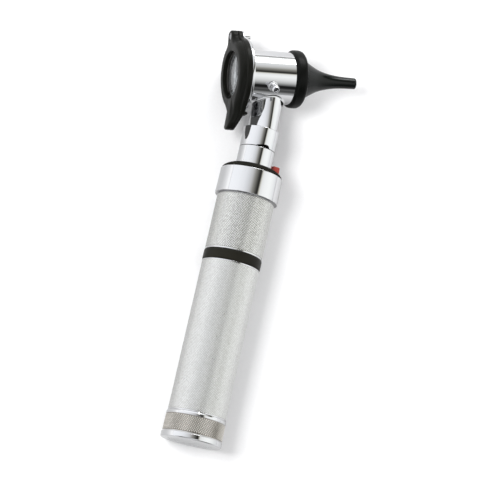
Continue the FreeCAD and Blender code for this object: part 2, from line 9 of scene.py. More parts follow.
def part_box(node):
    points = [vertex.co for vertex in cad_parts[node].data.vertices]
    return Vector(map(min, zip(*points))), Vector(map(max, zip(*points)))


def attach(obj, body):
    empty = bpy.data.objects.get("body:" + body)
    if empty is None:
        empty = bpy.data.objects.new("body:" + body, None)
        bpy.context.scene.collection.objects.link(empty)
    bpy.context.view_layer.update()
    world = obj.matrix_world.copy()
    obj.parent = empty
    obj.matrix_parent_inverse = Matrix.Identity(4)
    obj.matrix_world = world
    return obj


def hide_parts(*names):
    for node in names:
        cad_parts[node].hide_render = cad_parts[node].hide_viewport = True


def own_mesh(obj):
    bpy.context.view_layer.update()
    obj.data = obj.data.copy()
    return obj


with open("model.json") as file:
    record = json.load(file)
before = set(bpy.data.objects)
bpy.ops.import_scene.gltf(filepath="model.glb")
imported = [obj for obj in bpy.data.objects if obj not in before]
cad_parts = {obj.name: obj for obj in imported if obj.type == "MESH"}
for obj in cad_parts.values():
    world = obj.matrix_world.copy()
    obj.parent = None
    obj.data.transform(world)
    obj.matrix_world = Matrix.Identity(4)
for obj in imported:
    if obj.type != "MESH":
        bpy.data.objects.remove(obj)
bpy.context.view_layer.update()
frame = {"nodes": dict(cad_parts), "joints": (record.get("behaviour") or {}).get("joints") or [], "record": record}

MM = 0.001
N_FINE = 256
joints = {j["name"]: j for j in frame["joints"]}

# ------------------------------------------------------------ reference frames
# Handle: mesh axes are the row's. Head: local X is height above the sight
# line, local Y is -Y, local Z runs forward along the sight line.
sw = joints["lens_swing"]
D = Vector(sw["axis"]).normalized()
U = Vector((-D.z, 0, D.x))
P = Vector(sw["pos_m"])
PIVOT_H = 20.0
H0 = P + D * 0.020 - U * (PIVOT_H * MM)
HEAD = Matrix(((U.x, 0, D.x, H0.x), (0, -1, 0, H0.y), (U.z, 0, D.z, H0.z),
               (0, 0, 0, 1)))
HEAD_INV = HEAD.inverted()
REAR = HEAD @ Matrix.Translation((0, 0, -0.4 * MM))


def span(node):
    """Radius and height range of a turned handle node, in mm."""
    lo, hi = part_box(node)
    return (hi.x - lo.x) / 2 / MM, lo.z / MM, hi.z / MM


def hspan(node):
    """Extents of a head node in the head frame, in mm: (h, y, s) lows, highs."""
    co = [HEAD_INV @ v.co for v in frame["nodes"][node].data.vertices]
    a = np.array(co) / MM
    return a.min(0), a.max(0)


# ------------------------------------------------------------ mesh builders
def corner(pts, seg=6):
    """Closed outline of (r, z[, fillet]) to a list of (r, z, tangent in,
    tangent out). A fillet of 's' marks a point on a smooth curve."""
    out = []
    n = len(pts)
    for i in range(n):
        p0 = Vector(pts[i - 1][:2])
        p1 = Vector(pts[i][:2])
        p2 = Vector(pts[(i + 1) % n][:2])
        f = pts[i][2] if len(pts[i]) > 2 else 0
        a, b = (p1 - p0), (p2 - p1)
        la, lb = a.length, b.length
        a = a / la if la > 1e-9 else Vector((0, 1))
        b = b / lb if lb > 1e-9 else Vector((0, 1))
        if f == 's':
            t = (a * lb + b * la)
            t = t.normalized() if t.length > 1e-9 else a
            out.append((p1.x, p1.y, t, t))
        elif f and abs(a.angle_signed(b)) > 0.02:
            ang = a.angle_signed(b)
            half = abs(ang) / 2
            t = min(f * math.tan(half), 0.49 * la, 0.49 * lb)
            rad = t / math.tan(half)
            start = p1 - a * t
            side = -1 if ang > 0 else 1
            nrm = Vector((-a.y, a.x)) * side
            c = start + nrm * rad
            steps = max(2, int(math.ceil(abs(ang) / math.radians(90) * seg)) + 1)
            for k in range(steps + 1):
                w = -ang * k / steps
                rot = Matrix.Rotation(w, 2)
                p = c + rot @ (start - c)
                tt = rot @ a
                out.append((p.x, p.y, tt, tt))
        else:
            out.append((p1.x, p1.y, a, b))
    return out


def spline(pts, per=6):
    """Catmull-Rom samples of (r, z) points, ends kept, marked smooth."""
    p = [Vector(q) for q in pts]
    p = [p[0] * 2 - p[1]] + p + [p[-1] * 2 - p[-2]]
    out = []
    for i in range(1, len(p) - 2):
        for k in range(per):
            t = k / per
            q = 0.5 * ((2 * p[i]) + (p[i + 1] - p[i - 1]) * t
                       + (2 * p[i - 1] - 5 * p[i] + 4 * p[i + 1] - p[i + 2]) * t * t
                       + (3 * p[i] - p[i - 1] - 3 * p[i + 1] + p[i + 2]) * t ** 3)
            out.append((q.x, q.y, 's'))
    out.append((p[-2].x, p[-2].y, 's'))
    return out


def new_object(name, verts, faces, normals=None, smooth=True):
    """Object from verts in metres; normals is one vector per face corner."""
    me = bpy.data.meshes.new(name)
    me.from_pydata([tuple(v) for v in verts], [], faces)
    me.validate(clean_customdata=False)
    me.update()
    ob = bpy.data.objects.new(name, me)
    bpy.context.scene.collection.objects.link(ob)
    me.polygons.foreach_set("use_smooth", [smooth] * len(me.polygons))
    if normals is not None and len(normals) == len(me.loops):
        me.normals_split_custom_set([tuple(v) for v in normals])
    return ob


def lathe(name, rows, n=N_FINE, mat4=None, shift=(0.0, 0.0), phase=0.0):
    """Turned solid about Z with exact normals. rows is corner() output, mm.
    Rows may carry a fifth item: a knurl (index, depth) that alternates the
    radius round the row, with flat diamond facets."""
    m = len(rows)
    area = sum(rows[i][0] * rows[(i + 1) % m][1] - rows[(i + 1) % m][0] * rows[i][1]
               for i in range(m))
    sgn = 1.0 if area > 0 else -1.0
    ca = [math.cos(2 * math.pi * (k + phase) / n) for k in range(n)]
    sa = [math.sin(2 * math.pi * (k + phase) / n) for k in range(n)]
    M = mat4 if mat4 is not None else Matrix.Identity(4)
    R3 = M.to_3x3()
    verts, idx, pos = [], [], []
    for row in rows:
        r, z = row[0], row[1]
        kn = row[4] if len(row) > 4 else None
        if r < 1e-7:
            idx.append([len(verts)] * n)
            verts.append(M @ (Vector((shift[0], shift[1], z)) * MM))
            continue
        line = []
        for k in range(n):
            rr = r
            if kn is not None and kn[0] is not None and (k + kn[0]) % 2 == 0:
                rr = r - kn[1]
            line.append(len(verts))
            verts.append(M @ (Vector((rr * ca[k] + shift[0], rr * sa[k] + shift[1], z)) * MM))
        idx.append(line)
    faces, norms = [], []

    def nrm(t, k):
        nr, nz = t.y * sgn, -t.x * sgn
        v = R3 @ Vector((nr * ca[k], nr * sa[k], nz))
        return v.normalized()

    for i in range(m):
        j = (i + 1) % m
        a, b = rows[i], rows[j]
        if a[0] < 1e-7 and b[0] < 1e-7:
            continue
        ka = a[4] if len(a) > 4 else None
        kb = b[4] if len(b) > 4 else None
        knurl = ka is not None and kb is not None
        to, ti = a[3], b[2]
        for k in range(n):
            l = (k + 1) % n
            if knurl:
                ia = ka[0] if ka[0] is not None else kb[0] - 1
                low_first = (k + ia) % 2 == 0
                q = [idx[i][k], idx[i][l], idx[j][l], idx[j][k]]
                tris = ([q[0], q[1], q[2]], [q[0], q[2], q[3]]) if low_first else \
                       ([q[0], q[1], q[3]], [q[1], q[2], q[3]])
                for t in tris:
                    if sgn > 0:
                        pass
                    else:
                        t = t[::-1]
                    e1 = verts[t[1]] - verts[t[0]]
                    e2 = verts[t[2]] - verts[t[0]]
                    fn = e1.cross(e2).normalized()
                    faces.append(t)
                    norms += [fn] * 3
                continue
            if a[0] < 1e-7:
                f = [idx[i][k], idx[j][l], idx[j][k]]
                g = [nrm(to, k), nrm(ti, l), nrm(ti, k)]
            elif b[0] < 1e-7:
                f = [idx[i][k], idx[i][l], idx[j][k]]
                g = [nrm(to, k), nrm(to, l), nrm(ti, k)]
            else:
                f = [idx[i][k], idx[i][l], idx[j][l], idx[j][k]]
                g = [nrm(to, k), nrm(to, l), nrm(ti, l), nrm(ti, k)]
            if sgn < 0:
                f, g = f[::-1], g[::-1]
            faces.append(f)
            norms += g
    return new_object(name, verts, faces, norms)


def knurl_rows(r, z0, z1, depth, pitch):
    """Rows of a diamond knurl from z0 to z1, starting and ending in grooves."""
    half = pitch / 2
    cnt = int(round(abs(z1 - z0) / half))
    t = Vector((0, 1)) if z1 > z0 else Vector((0, -1))
    rows = []
    for k in range(cnt + 1):
        z = z0 + (z1 - z0) * k / cnt
        if k in (0, cnt):
            rows.append((r - depth, z, t, t, (None if k == 0 else k, 0.0)))
        else:
            rows.append((r, z, t, t, (k, depth)))
    # the first and last rows are level, at the groove's depth
    rows[0] = (r - depth, z0, t, t, (0, 0.0))
    return rows


def auto_smooth(ob, angle=32):
    me = ob.data
    me.polygons.foreach_set("use_smooth", [True] * len(me.polygons))
    me.set_sharp_from_angle(angle=math.radians(angle))
    me.update()


def apply_mods(ob):
    dg = bpy.context.evaluated_depsgraph_get()
    ev = ob.evaluated_get(dg)
    me = bpy.data.meshes.new_from_object(ev, preserve_all_data_layers=True, depsgraph=dg)
    old = ob.data
    ob.modifiers.clear()
    ob.data = me
    me.name = old.name
    bpy.data.meshes.remove(old)


def boolean(ob, cutter, op='DIFFERENCE'):
    md = ob.modifiers.new("b", 'BOOLEAN')
    md.operation = op
    md.solver = 'EXACT'
    md.object = cutter
    bpy.context.view_layer.update()
    apply_mods(ob)
    cm = cutter.data
    bpy.data.objects.remove(cutter)
    bpy.data.meshes.remove(cm)


def join(obs, name):
    """Joins objects that already share a frame into one mesh."""
    vs, fs, ns = [], [], []
    for o in obs:
        base = len(vs)
        me = o.data
        vs += [v.co.copy() for v in me.vertices]
        fs += [[base + i for i in p.vertices] for p in me.polygons]
        ns += [Vector(c.vector) for c in me.corner_normals]
        bpy.data.objects.remove(o)
        bpy.data.meshes.remove(me)
    return new_object(name, vs, fs, ns)


def cyl_normals(ob, tests):
    """Gives faces that lie on a known cylinder its exact normals.
    tests: list of (matrix to local, radius mm, sign)."""
    me = ob.data
    ns = [Vector(c.vector) for c in me.corner_normals]
    for mat4, rad, sg in tests:
        inv = mat4.inverted()
        R3 = mat4.to_3x3()
        loc = [inv @ v.co for v in me.vertices]
        on = [abs(math.hypot(p.x, p.y) / MM - rad) < 0.004 for p in loc]
        for p in me.polygons:
            if all(on[i] for i in p.vertices):
                nl = R3.inverted() @ p.normal
                if abs(nl.z) > 0.2:
                    continue
                for li in p.loop_indices:
                    q = loc[me.loops[li].vertex_index]
                    ns[li] = (R3 @ Vector((q.x, q.y, 0)).normalized()) * sg
    me.normals_split_custom_set([tuple(v) for v in ns])


# ------------------------------------------------------------ materials
def srgb(c):
    return tuple(((x / 12.92) if x <= 0.04045 else ((x + 0.055) / 1.055) ** 2.4)
                 for x in c) + (1.0,)


def base_nodes(name):
    m = bpy.data.materials.new(name)
    m.use_nodes = True
    nt = m.node_tree
    nt.nodes.clear()
    out = nt.nodes.new("ShaderNodeOutputMaterial")
    bs = nt.nodes.new("ShaderNodeBsdfPrincipled")
    nt.links.new(bs.outputs[0], out.inputs[0])
    tc = nt.nodes.new("ShaderNodeTexCoord")
    return m, nt, bs, tc


def noise(nt, tc, scale, detail=4.0, rough=0.55, vec=None, stretch=None):
    n = nt.nodes.new("ShaderNodeTexNoise")
    n.inputs["Scale"].default_value = scale
    n.inputs["Detail"].default_value = detail
    n.inputs["Roughness"].default_value = rough
    src = tc.outputs["Object"] if vec is None else vec
    if stretch:
        mp = nt.nodes.new("ShaderNodeMapping")
        mp.inputs["Scale"].default_value = stretch
        nt.links.new(src, mp.inputs[0])
        src = mp.outputs[0]
    nt.links.new(src, n.inputs["Vector"])
    return n.outputs["Fac"]


def ramp(nt, fac, stops):
    r = nt.nodes.new("ShaderNodeValToRGB")
    el = r.color_ramp.elements
    while len(el) > 1:
        el.remove(el[-1])
    el[0].position = stops[0][0]
    el[0].color = stops[0][1]
    for p, c in stops[1:]:
        e = el.new(p)
        e.color = c
    nt.links.new(fac, r.inputs[0])
    return r.outputs[0]


def maprange(nt, fac, a, b, c, d, clamp=True):
    r = nt.nodes.new("ShaderNodeMapRange")
    r.clamp = clamp
    for i, v in zip((1, 2, 3, 4), (a, b, c, d)):
        r.inputs[i].default_value = v
    nt.links.new(fac, r.inputs[0])
    return r.outputs[0]


def math_node(nt, op, a, b=None, c=None):
    n = nt.nodes.new("ShaderNodeMath")
    n.operation = op
    for i, v in enumerate((a, b, c)):
        if v is None:
            continue
        if isinstance(v, (int, float)):
            n.inputs[i].default_value = v
        else:
            nt.links.new(v, n.inputs[i])
    return n.outputs[0]


def mix(nt, fac, a, b):
    n = nt.nodes.new("ShaderNodeMix")
    n.data_type = 'RGBA'
    for s, v in ((0, fac), (6, a), (7, b)):
        if isinstance(v, (int, float)):
            n.inputs[s].default_value = v
        elif isinstance(v, tuple):
            n.inputs[s].default_value = v
        else:
            nt.links.new(v, n.inputs[s])
    return n.outputs[2]


def bump(nt, h, strength, dist, prev=None):
    b = nt.nodes.new("ShaderNodeBump")
    b.inputs["Strength"].default_value = strength
    b.inputs["Distance"].default_value = dist
    nt.links.new(h, b.inputs["Height"])
    if prev is not None:
        nt.links.new(prev, b.inputs["Normal"])
    return b.outputs[0]


def metal(name, col, col2, r0, r1, scale=120.0, grain=None, bumps=(0.0, 0.0), stretch=None,
          hollow_dark=0.0, tint_scale=35.0):
    """Plated or bare metal: tint drift, roughness drift, fine grain."""
    m, nt, bs, tc = base_nodes(name)
    bs.inputs["Metallic"].default_value = 1.0
    drift = noise(nt, tc, tint_scale, 3.0)
    base = mix(nt, maprange(nt, drift, 0.35, 0.65, 0, 1), srgb(col), srgb(col2))
    # hollows (low pointiness) are coloured towards a dark brown grey; no material here turns it on
    if hollow_dark:
        geo = nt.nodes.new("ShaderNodeNewGeometry")
        cav = maprange(nt, geo.outputs["Pointiness"], 0.40, 0.5, hollow_dark, 0.0)
        base = mix(nt, cav, base, srgb((0.25, 0.23, 0.2)))
    nt.links.new(base, bs.inputs["Base Color"])
    sm = noise(nt, tc, scale, 5.0)
    nt.links.new(maprange(nt, sm, 0.3, 0.72, r0, r1), bs.inputs["Roughness"])
    if bumps[0] > 0:
        g = noise(nt, tc, grain or 900.0, 2.0, 0.6, stretch=stretch)
        nt.links.new(bump(nt, g, bumps[0], bumps[1]), bs.inputs["Normal"])
    return m


def plastic(name, col, col2, r0, r1, grain=2600.0, strength=0.25, dist=0.00003,
            spec=0.5, tint=60.0, edge=None, ior=1.45):
    """Moulded plastic: colour drift, fine moulded grain, painted highlight on sharp edges."""
    m, nt, bs, tc = base_nodes(name)
    d = noise(nt, tc, tint, 4.0)
    base = mix(nt, maprange(nt, d, 0.3, 0.7, 0, 1), srgb(col), srgb(col2))
    # painted highlight: sharp outer edges (high pointiness) are coloured lighter
    if edge:
        geo = nt.nodes.new("ShaderNodeNewGeometry")
        w = maprange(nt, geo.outputs["Pointiness"], 0.52, 0.62, 0.0, 0.6)
        base = mix(nt, w, base, srgb(edge))
    nt.links.new(base, bs.inputs["Base Color"])
    rr = noise(nt, tc, 240.0, 4.0)
    nt.links.new(maprange(nt, rr, 0.3, 0.7, r0, r1), bs.inputs["Roughness"])
    bs.inputs["Specular IOR Level"].default_value = spec
    bs.inputs["IOR"].default_value = ior
    g = noise(nt, tc, grain, 2.0, 0.6)
    nt.links.new(bump(nt, g, strength, dist), bs.inputs["Normal"])
    return m


MAT = {}
MAT["chrome"] = metal("polished_chrome", (0.83, 0.832, 0.836), (0.815, 0.818, 0.824),
                      0.015, 0.045, 70.0, 520.0, (0.018, 0.00002))
MAT["chrome_neck"] = metal("polished_chrome_neck", (0.83, 0.832, 0.836),
                           (0.81, 0.813, 0.82), 0.012, 0.05, 110.0, 260.0, (0.03, 0.00003))
# dark metal for the neck's notch faces: painted shade for the dark bayonet opening
MAT["dark_oxide"] = metal("dark_oxide", (0.1, 0.095, 0.085), (0.07, 0.068, 0.06), 0.35, 0.5,
                          300.0, 1500.0, (0.15, 0.00002))
MAT["dark_steel"] = metal("dark_steel", (0.42, 0.41, 0.4), (0.34, 0.33, 0.32), 0.25, 0.4,
                          300.0, 1500.0, (0.15, 0.00002))
# darker metal for the flange's front face: painted shade, so the neck stub reflects a dark face
MAT["satin"] = metal("satin_plate", (0.6, 0.6, 0.605), (0.54, 0.54, 0.545), 0.1, 0.18,
                     200.0, 1200.0, (0.05, 0.00002))
MAT["steel"] = metal("plated_steel", (0.72, 0.72, 0.72), (0.62, 0.62, 0.63), 0.22, 0.38,
                     250.0, 1400.0, (0.12, 0.00002), stretch=(1, 1, 8))
MAT["spring"] = metal("spring_wire", (0.66, 0.66, 0.67), (0.5, 0.5, 0.52), 0.2, 0.4,
                      400.0, 2500.0, (0.2, 0.00002))
MAT["brass"] = metal("turned_brass", (0.86, 0.70, 0.38), (0.72, 0.55, 0.26), 0.2, 0.38,
                     260.0, 1800.0, (0.15, 0.00002), stretch=(1, 1, 14))
MAT["black"] = plastic("black_moulded", (0.068, 0.074, 0.066), (0.05, 0.055, 0.048),
                       0.3, 0.4, 2400.0, 0.3, 0.00004, 0.2, 60.0, (0.1, 0.105, 0.09), 1.3)
MAT["collar_black"] = plastic("black_collar", (0.035, 0.04, 0.034), (0.025, 0.028, 0.024),
                              0.3, 0.4, 2400.0, 0.3, 0.00004, 0.2, 60.0, (0.07, 0.075, 0.065), 1.3)
MAT["frame_black"] = plastic("black_frame", (0.075, 0.075, 0.062), (0.055, 0.057, 0.048),
                             0.28, 0.4, 2000.0, 0.3, 0.00004, 0.22, 45.0, (0.11, 0.11, 0.09), 1.3)
# painted reflection: to glossy rays the black frame is a flat grey glow, so the chrome reflects it lighter than
# black plastic
em_nt = MAT["frame_black"].node_tree
em_out = [n for n in em_nt.nodes if n.type == 'OUTPUT_MATERIAL'][0]
em_lp = em_nt.nodes.new("ShaderNodeLightPath")
frame_gloss_glow = em_nt.nodes.new("ShaderNodeEmission")
frame_gloss_glow.inputs[0].default_value = (0.1, 0.1, 0.098, 1)
frame_gloss_glow_mix = em_nt.nodes.new("ShaderNodeMixShader")
em_nt.links.new(em_lp.outputs["Is Glossy Ray"], frame_gloss_glow_mix.inputs[0])
em_nt.links.new(em_out.inputs[0].links[0].from_socket, frame_gloss_glow_mix.inputs[1])
em_nt.links.new(frame_gloss_glow.outputs[0], frame_gloss_glow_mix.inputs[2])
em_nt.links.new(frame_gloss_glow_mix.outputs[0], em_out.inputs[0])
MAT["speculum"] = plastic("speculum_plastic", (0.05, 0.062, 0.055), (0.04, 0.05, 0.045),
                          0.13, 0.2, 1500.0, 0.1, 0.00002, 0.34, 40.0, None, 1.36)
MAT["band"] = plastic("black_band", (0.13, 0.125, 0.1), (0.1, 0.098, 0.08),
                      0.34, 0.46, 2800.0, 0.3, 0.00004, 0.18, 80.0, (0.18, 0.17, 0.14), 1.32)
MAT["dome"] = plastic("black_dome", (0.13, 0.128, 0.115), (0.11, 0.108, 0.095),
                      0.45, 0.55, 2800.0, 0.3, 0.00004, 0.03, 80.0, (0.18, 0.17, 0.15), 1.2)
MAT["red"] = plastic("red_button", (0.62, 0.24, 0.2), (0.54, 0.18, 0.15),
                     0.28, 0.4, 1800.0, 0.2, 0.00003, 0.4, 120.0, (0.72, 0.3, 0.26))
MAT["insulator"] = plastic("phenolic", (0.42, 0.25, 0.13), (0.3, 0.17, 0.08),
                           0.4, 0.6, 1600.0, 0.3, 0.00004, 0.4, 500.0)
MAT["track"] = plastic("resistive_film", (0.17, 0.16, 0.15), (0.1, 0.1, 0.1),
                       0.45, 0.6, 3000.0, 0.4, 0.00004, 0.4, 700.0)
MAT["rubber"] = plastic("soft_rubber", (0.11, 0.11, 0.11), (0.08, 0.08, 0.08),
                        0.55, 0.75, 3000.0, 0.4, 0.00005, 0.3, 90.0)
MAT["inner_black"] = plastic("inner_black", (0.07, 0.07, 0.066), (0.05, 0.05, 0.048),
                             0.5, 0.7, 2600.0, 0.4, 0.00004, 0.3, 90.0)


def band_metal(name, k_mat_cols, zones, r_hi, depth):
    """One material for a turned part: knurl look inside the zones, bright
    polish outside them. zones are (z0, z1) in mm."""
    m, nt, bs, tc = base_nodes(name)
    bs.inputs["Metallic"].default_value = 1.0
    sx = nt.nodes.new("ShaderNodeSeparateXYZ")
    nt.links.new(tc.outputs["Object"], sx.inputs[0])
    z = sx.outputs[2]
    inz = None
    for z0, z1 in zones:
        a = math_node(nt, 'GREATER_THAN', z, z0 * MM)
        b = math_node(nt, 'LESS_THAN', z, z1 * MM)
        w = math_node(nt, 'MULTIPLY', a, b)
        inz = w if inz is None else math_node(nt, 'MAXIMUM', inz, w)
    rr = math_node(nt, 'SQRT', math_node(nt, 'ADD',
                   math_node(nt, 'MULTIPLY', sx.outputs[0], sx.outputs[0]),
                   math_node(nt, 'MULTIPLY', sx.outputs[1], sx.outputs[1])))
    # painted shade: inside the zones the knurl's grooves (below the crest radius) are coloured darker than the
    # crests
    low = maprange(nt, rr, (r_hi - depth * 0.9) * MM, (r_hi - depth * 0.3) * MM, 1.0, 0.0)
    low = math_node(nt, 'MULTIPLY', low, inz)
    c1, c2, groove, r0, r1 = k_mat_cols
    drift = noise(nt, tc, 28.0, 4.0)
    kb = mix(nt, maprange(nt, drift, 0.3, 0.7, 0, 1), srgb(c1), srgb(c2))
    v = noise(nt, tc, 1100.0, 2.0)
    kb = mix(nt, maprange(nt, v, 0.42, 0.68, 0.0, 0.5), kb, srgb((0.66, 0.655, 0.635)))
    kb = mix(nt, low, kb, srgb(groove))
    pol = mix(nt, maprange(nt, drift, 0.3, 0.7, 0, 1), srgb((0.83, 0.832, 0.836)),
              srgb((0.81, 0.813, 0.818)))
    col = mix(nt, inz, pol, kb)
    nt.links.new(col, bs.inputs["Base Color"])
    sm = noise(nt, tc, 160.0, 5.0)
    rk = maprange(nt, sm, 0.3, 0.7, r0, r1)
    rp = maprange(nt, sm, 0.3, 0.7, 0.03, 0.08)
    d = math_node(nt, 'SUBTRACT', rk, rp)
    nt.links.new(math_node(nt, 'MULTIPLY_ADD', d, inz, rp), bs.inputs["Roughness"])
    g = noise(nt, tc, 3200.0, 2.0)
    g = math_node(nt, 'MULTIPLY', g, inz)
    nt.links.new(bump(nt, g, 0.25, 0.00003), bs.inputs["Normal"])
    return m


def glass(name, col, rough=0.0, ior=1.52):
    m, nt, bs, tc = base_nodes(name)
    d = noise(nt, tc, 90.0, 3.0)
    c = mix(nt, maprange(nt, d, 0.35, 0.65, 0, 1), col, tuple(x * 0.985 for x in col[:3]) + (1,))
    nt.links.new(c, bs.inputs["Base Color"])
    bs.inputs["Transmission Weight"].default_value = 1.0
    bs.inputs["IOR"].default_value = ior
    sm = noise(nt, tc, 200.0, 4.0)
    nt.links.new(maprange(nt, sm, 0.4, 0.8, rough, rough + 0.012), bs.inputs["Roughness"])
    bs.inputs["Coat Weight"].default_value = 0.12
    bs.inputs["Coat Tint"].default_value = (0.86, 0.93, 1.0, 1)
    bs.inputs["Coat Roughness"].default_value = 0.01
    return m


MAT["lens"] = glass("lens_glass", (0.88, 0.9, 0.9, 1))
MAT["bulb"] = glass("bulb_glass", (0.99, 0.99, 0.98, 1), 0.01)


def fibre_mat():
    m, nt, bs, tc = base_nodes("fibre_bundle")
    f = noise(nt, tc, 5200.0, 2.0)
    c = mix(nt, maprange(nt, f, 0.35, 0.65, 0, 1), srgb((0.8, 0.82, 0.78)), srgb((0.55, 0.58, 0.55)))
    nt.links.new(c, bs.inputs["Base Color"])
    bs.inputs["Roughness"].default_value = 0.25
    bs.inputs["Transmission Weight"].default_value = 0.3
    nt.links.new(bump(nt, f, 0.4, 0.00004), bs.inputs["Normal"])
    return m


def cell_mat():
    m, nt, bs, tc = base_nodes("cell_wrap")
    sx = nt.nodes.new("ShaderNodeSeparateXYZ")
    nt.links.new(tc.outputs["Object"], sx.inputs[0])
    seam = noise(nt, tc, 240.0, 5.0)
    c = mix(nt, maprange(nt, seam, 0.4, 0.7, 0, 1), srgb((0.16, 0.2, 0.27)), srgb((0.1, 0.13, 0.18)))
    nt.links.new(c, bs.inputs["Base Color"])
    bs.inputs["Metallic"].default_value = 0.4
    nt.links.new(maprange(nt, seam, 0.3, 0.7, 0.25, 0.45), bs.inputs["Roughness"])
    nt.links.new(bump(nt, seam, 0.2, 0.00005), bs.inputs["Normal"])
    return m


MAT["fibre"] = fibre_mat()
MAT["cell"] = cell_mat()


def paint(ob, m):
    ob.data.materials.clear()
    ob.data.materials.append(m)


def piece(ob, body, mat, slot, *nodes):
    paint(ob, mat)
    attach(ob, body)
    if nodes:
        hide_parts(*nodes)
    return ob


# CAD nodes that keep their own shape get their finish here.
KEEP = {
    "tail_seal": "rubber", "tail_spring": "spring", "barrel_coupler": "brass",
    "battery_lower": "cell", "battery_upper": "cell", "battery_terminals": "steel",
    "positive_contact": "brass", "contact_carrier": "insulator",
    "top_plate": "insulator", "rheostat_track": "track", "post_nut": "steel",
    "post_insulator": "insulator", "contact_pin": "brass",
    "rheostat_wiper": "brass", "port_seal": "rubber", "lamp_base": "brass",
    "lamp_glass": "bulb", "lamp_contact": "steel", "lamp_holder": "brass",
    "rear_seal_ring": "rubber", "wave_washer": "spring",
    "viewing_funnel": "inner_black", "speculum_holder": "inner_black",
    "light_guide": "fibre",
}
for node, key in KEEP.items():
    paint(frame["nodes"][node], MAT[key])


def live_spring(name, node, body):
    """Coil copied from the CAD node, smoothed and carried rigidly by its body."""
    src = frame["nodes"][node]
    ob = bpy.data.objects.new(name, src.data.copy())
    bpy.context.scene.collection.objects.link(ob)
    ob.matrix_world = src.matrix_world.copy()
    bm = bmesh.new()
    bm.from_mesh(ob.data)
    bmesh.ops.remove_doubles(bm, verts=bm.verts, dist=1e-7)
    bm.to_mesh(ob.data)
    bm.free()
    auto_smooth(ob, 40)
    piece(ob, body, MAT["spring"], "spring_steel", node)
    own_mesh(ob)


live_spring("contact_pin_coil", "contact_pin_spring", "handle")
live_spring("button_coil", "button_spring", "control_ring")

# ------------------------------------------------------------ handle pieces
R_B, ZL0, ZL1 = span("lower_barrel")
_, ZU0, ZU1 = span("upper_barrel")
Z_SPLIT = 125.7
K_DEPTH = 0.085
K_PITCH = 1.04
N_KNURL = 184


def flat(r, z, tin, tout=None):
    return (r, z, Vector(tin), Vector(tout if tout else tin))


UPV, DNV, OUTV, INV = Vector((0, 1)), Vector((0, -1)), Vector((1, 0)), Vector((-1, 0))
BORE, COUP, THR = 13.35, 13.92, 14.1

# Lower barrel: thread, polished run-out, knurl, polished bevel.
thread = []
z = ZL0
thread.append((THR - 0.35, z))
for i in range(5):
    thread += [(THR, z + 0.45), (THR, z + 0.75), (THR - 0.32, z + 1.2)]
    z += 1.45
thread.append((THR - 0.32, 13.7))
rows = corner([(BORE, ZL0)] + thread + [(R_B - 0.02, 13.7, 0.12), (R_B - 0.02, 14.25)])
rows = rows[:-1] + [(R_B - 0.02, 14.2, UPV, UPV)]
rows += [(R_B - K_DEPTH, 14.3, Vector((-0.85, 0.53)), UPV)]
rows += knurl_rows(R_B, 14.35, ZL1 - 0.95, K_DEPTH, K_PITCH)
rows += [(R_B - 0.03, ZL1 - 0.85, Vector((0.8, 0.6)), UPV)]
tail = corner([(R_B - 0.03, ZL1 - 0.85), (R_B - 0.03, ZL1 - 0.34, 0.06),
               (R_B - 0.36, ZL1, 0.05), (COUP, ZL1), (COUP, ZL1 - 7.97),
               (BORE, ZL1 - 7.97), (BORE, ZL0)])
rows += tail[1:-1]
lower = lathe("lower_barrel_shell", rows, N_KNURL)
# knurl colours: two crest colours, the grooves' painted shade colour, roughness range; the upper barrel's grooves
# are painted darker
KCOL = ((0.965, 0.97, 0.968), (0.95, 0.955, 0.952), (0.73, 0.73, 0.72), 0.27, 0.31)
KCOL2 = ((0.965, 0.967, 0.96), (0.95, 0.952, 0.945), (0.64, 0.64, 0.625), 0.23, 0.27)
piece(lower, "handle", band_metal("barrel_knurl_lower", KCOL, [(14.28, ZL1 - 0.9)], R_B, K_DEPTH),
      "knurled_chrome", "lower_barrel")

# Upper barrel: bevel, knurl, undercut, spigot inside the control ring.
rows = corner([(BORE, ZU0 + 7.97), (COUP, ZU0 + 7.97), (COUP, ZU0),
               (R_B - 0.36, ZU0, 0.05), (R_B - 0.03, ZU0 + 0.34, 0.06), (R_B - 0.03, ZU0 + 0.85)])
rows = rows[:-1] + [(R_B - 0.03, ZU0 + 0.85, UPV, UPV),
                    (R_B - K_DEPTH, ZU0 + 0.95, Vector((-0.8, 0.6)), UPV)]
rows += knurl_rows(R_B, ZU0 + 1.0, Z_SPLIT - 0.5, K_DEPTH, K_PITCH)
tail = corner([(R_B - K_DEPTH, Z_SPLIT - 0.5), (R_B - 0.2, Z_SPLIT - 0.35, 0.04),
               (R_B - 0.2, Z_SPLIT, 0.05), (13.4, Z_SPLIT), (13.4, ZU1, 0.15), (12.4, ZU1, 0.15),
               (12.4, 129.0), (BORE, 127.5), (BORE, ZU0 + 7.97)])
rows += tail[1:-1]
upper = lathe("upper_barrel_shell", rows, N_KNURL)
piece(upper, "handle", band_metal("barrel_knurl_upper", KCOL2, [(ZU0 + 0.9, Z_SPLIT - 0.45)],
                                  R_B, K_DEPTH),
      "knurled_chrome", "upper_barrel")

# Black ring between the barrels.
R_R, ZR0, ZR1 = span("barrel_ring")
ring = lathe("barrel_band", corner([
    (COUP + 0.02, ZR0), (R_R - 0.18, ZR0, 0.12), (R_R - 0.02, ZR0 + 0.55, 0.6),
    (R_R, (ZR0 + ZR1) / 2, 's'), (R_R - 0.02, ZR1 - 0.55, 0.6), (R_R - 0.18, ZR1, 0.12),
    (COUP + 0.02, ZR1)]))
piece(ring, "handle", MAT["band"], "black_plastic", "barrel_ring")

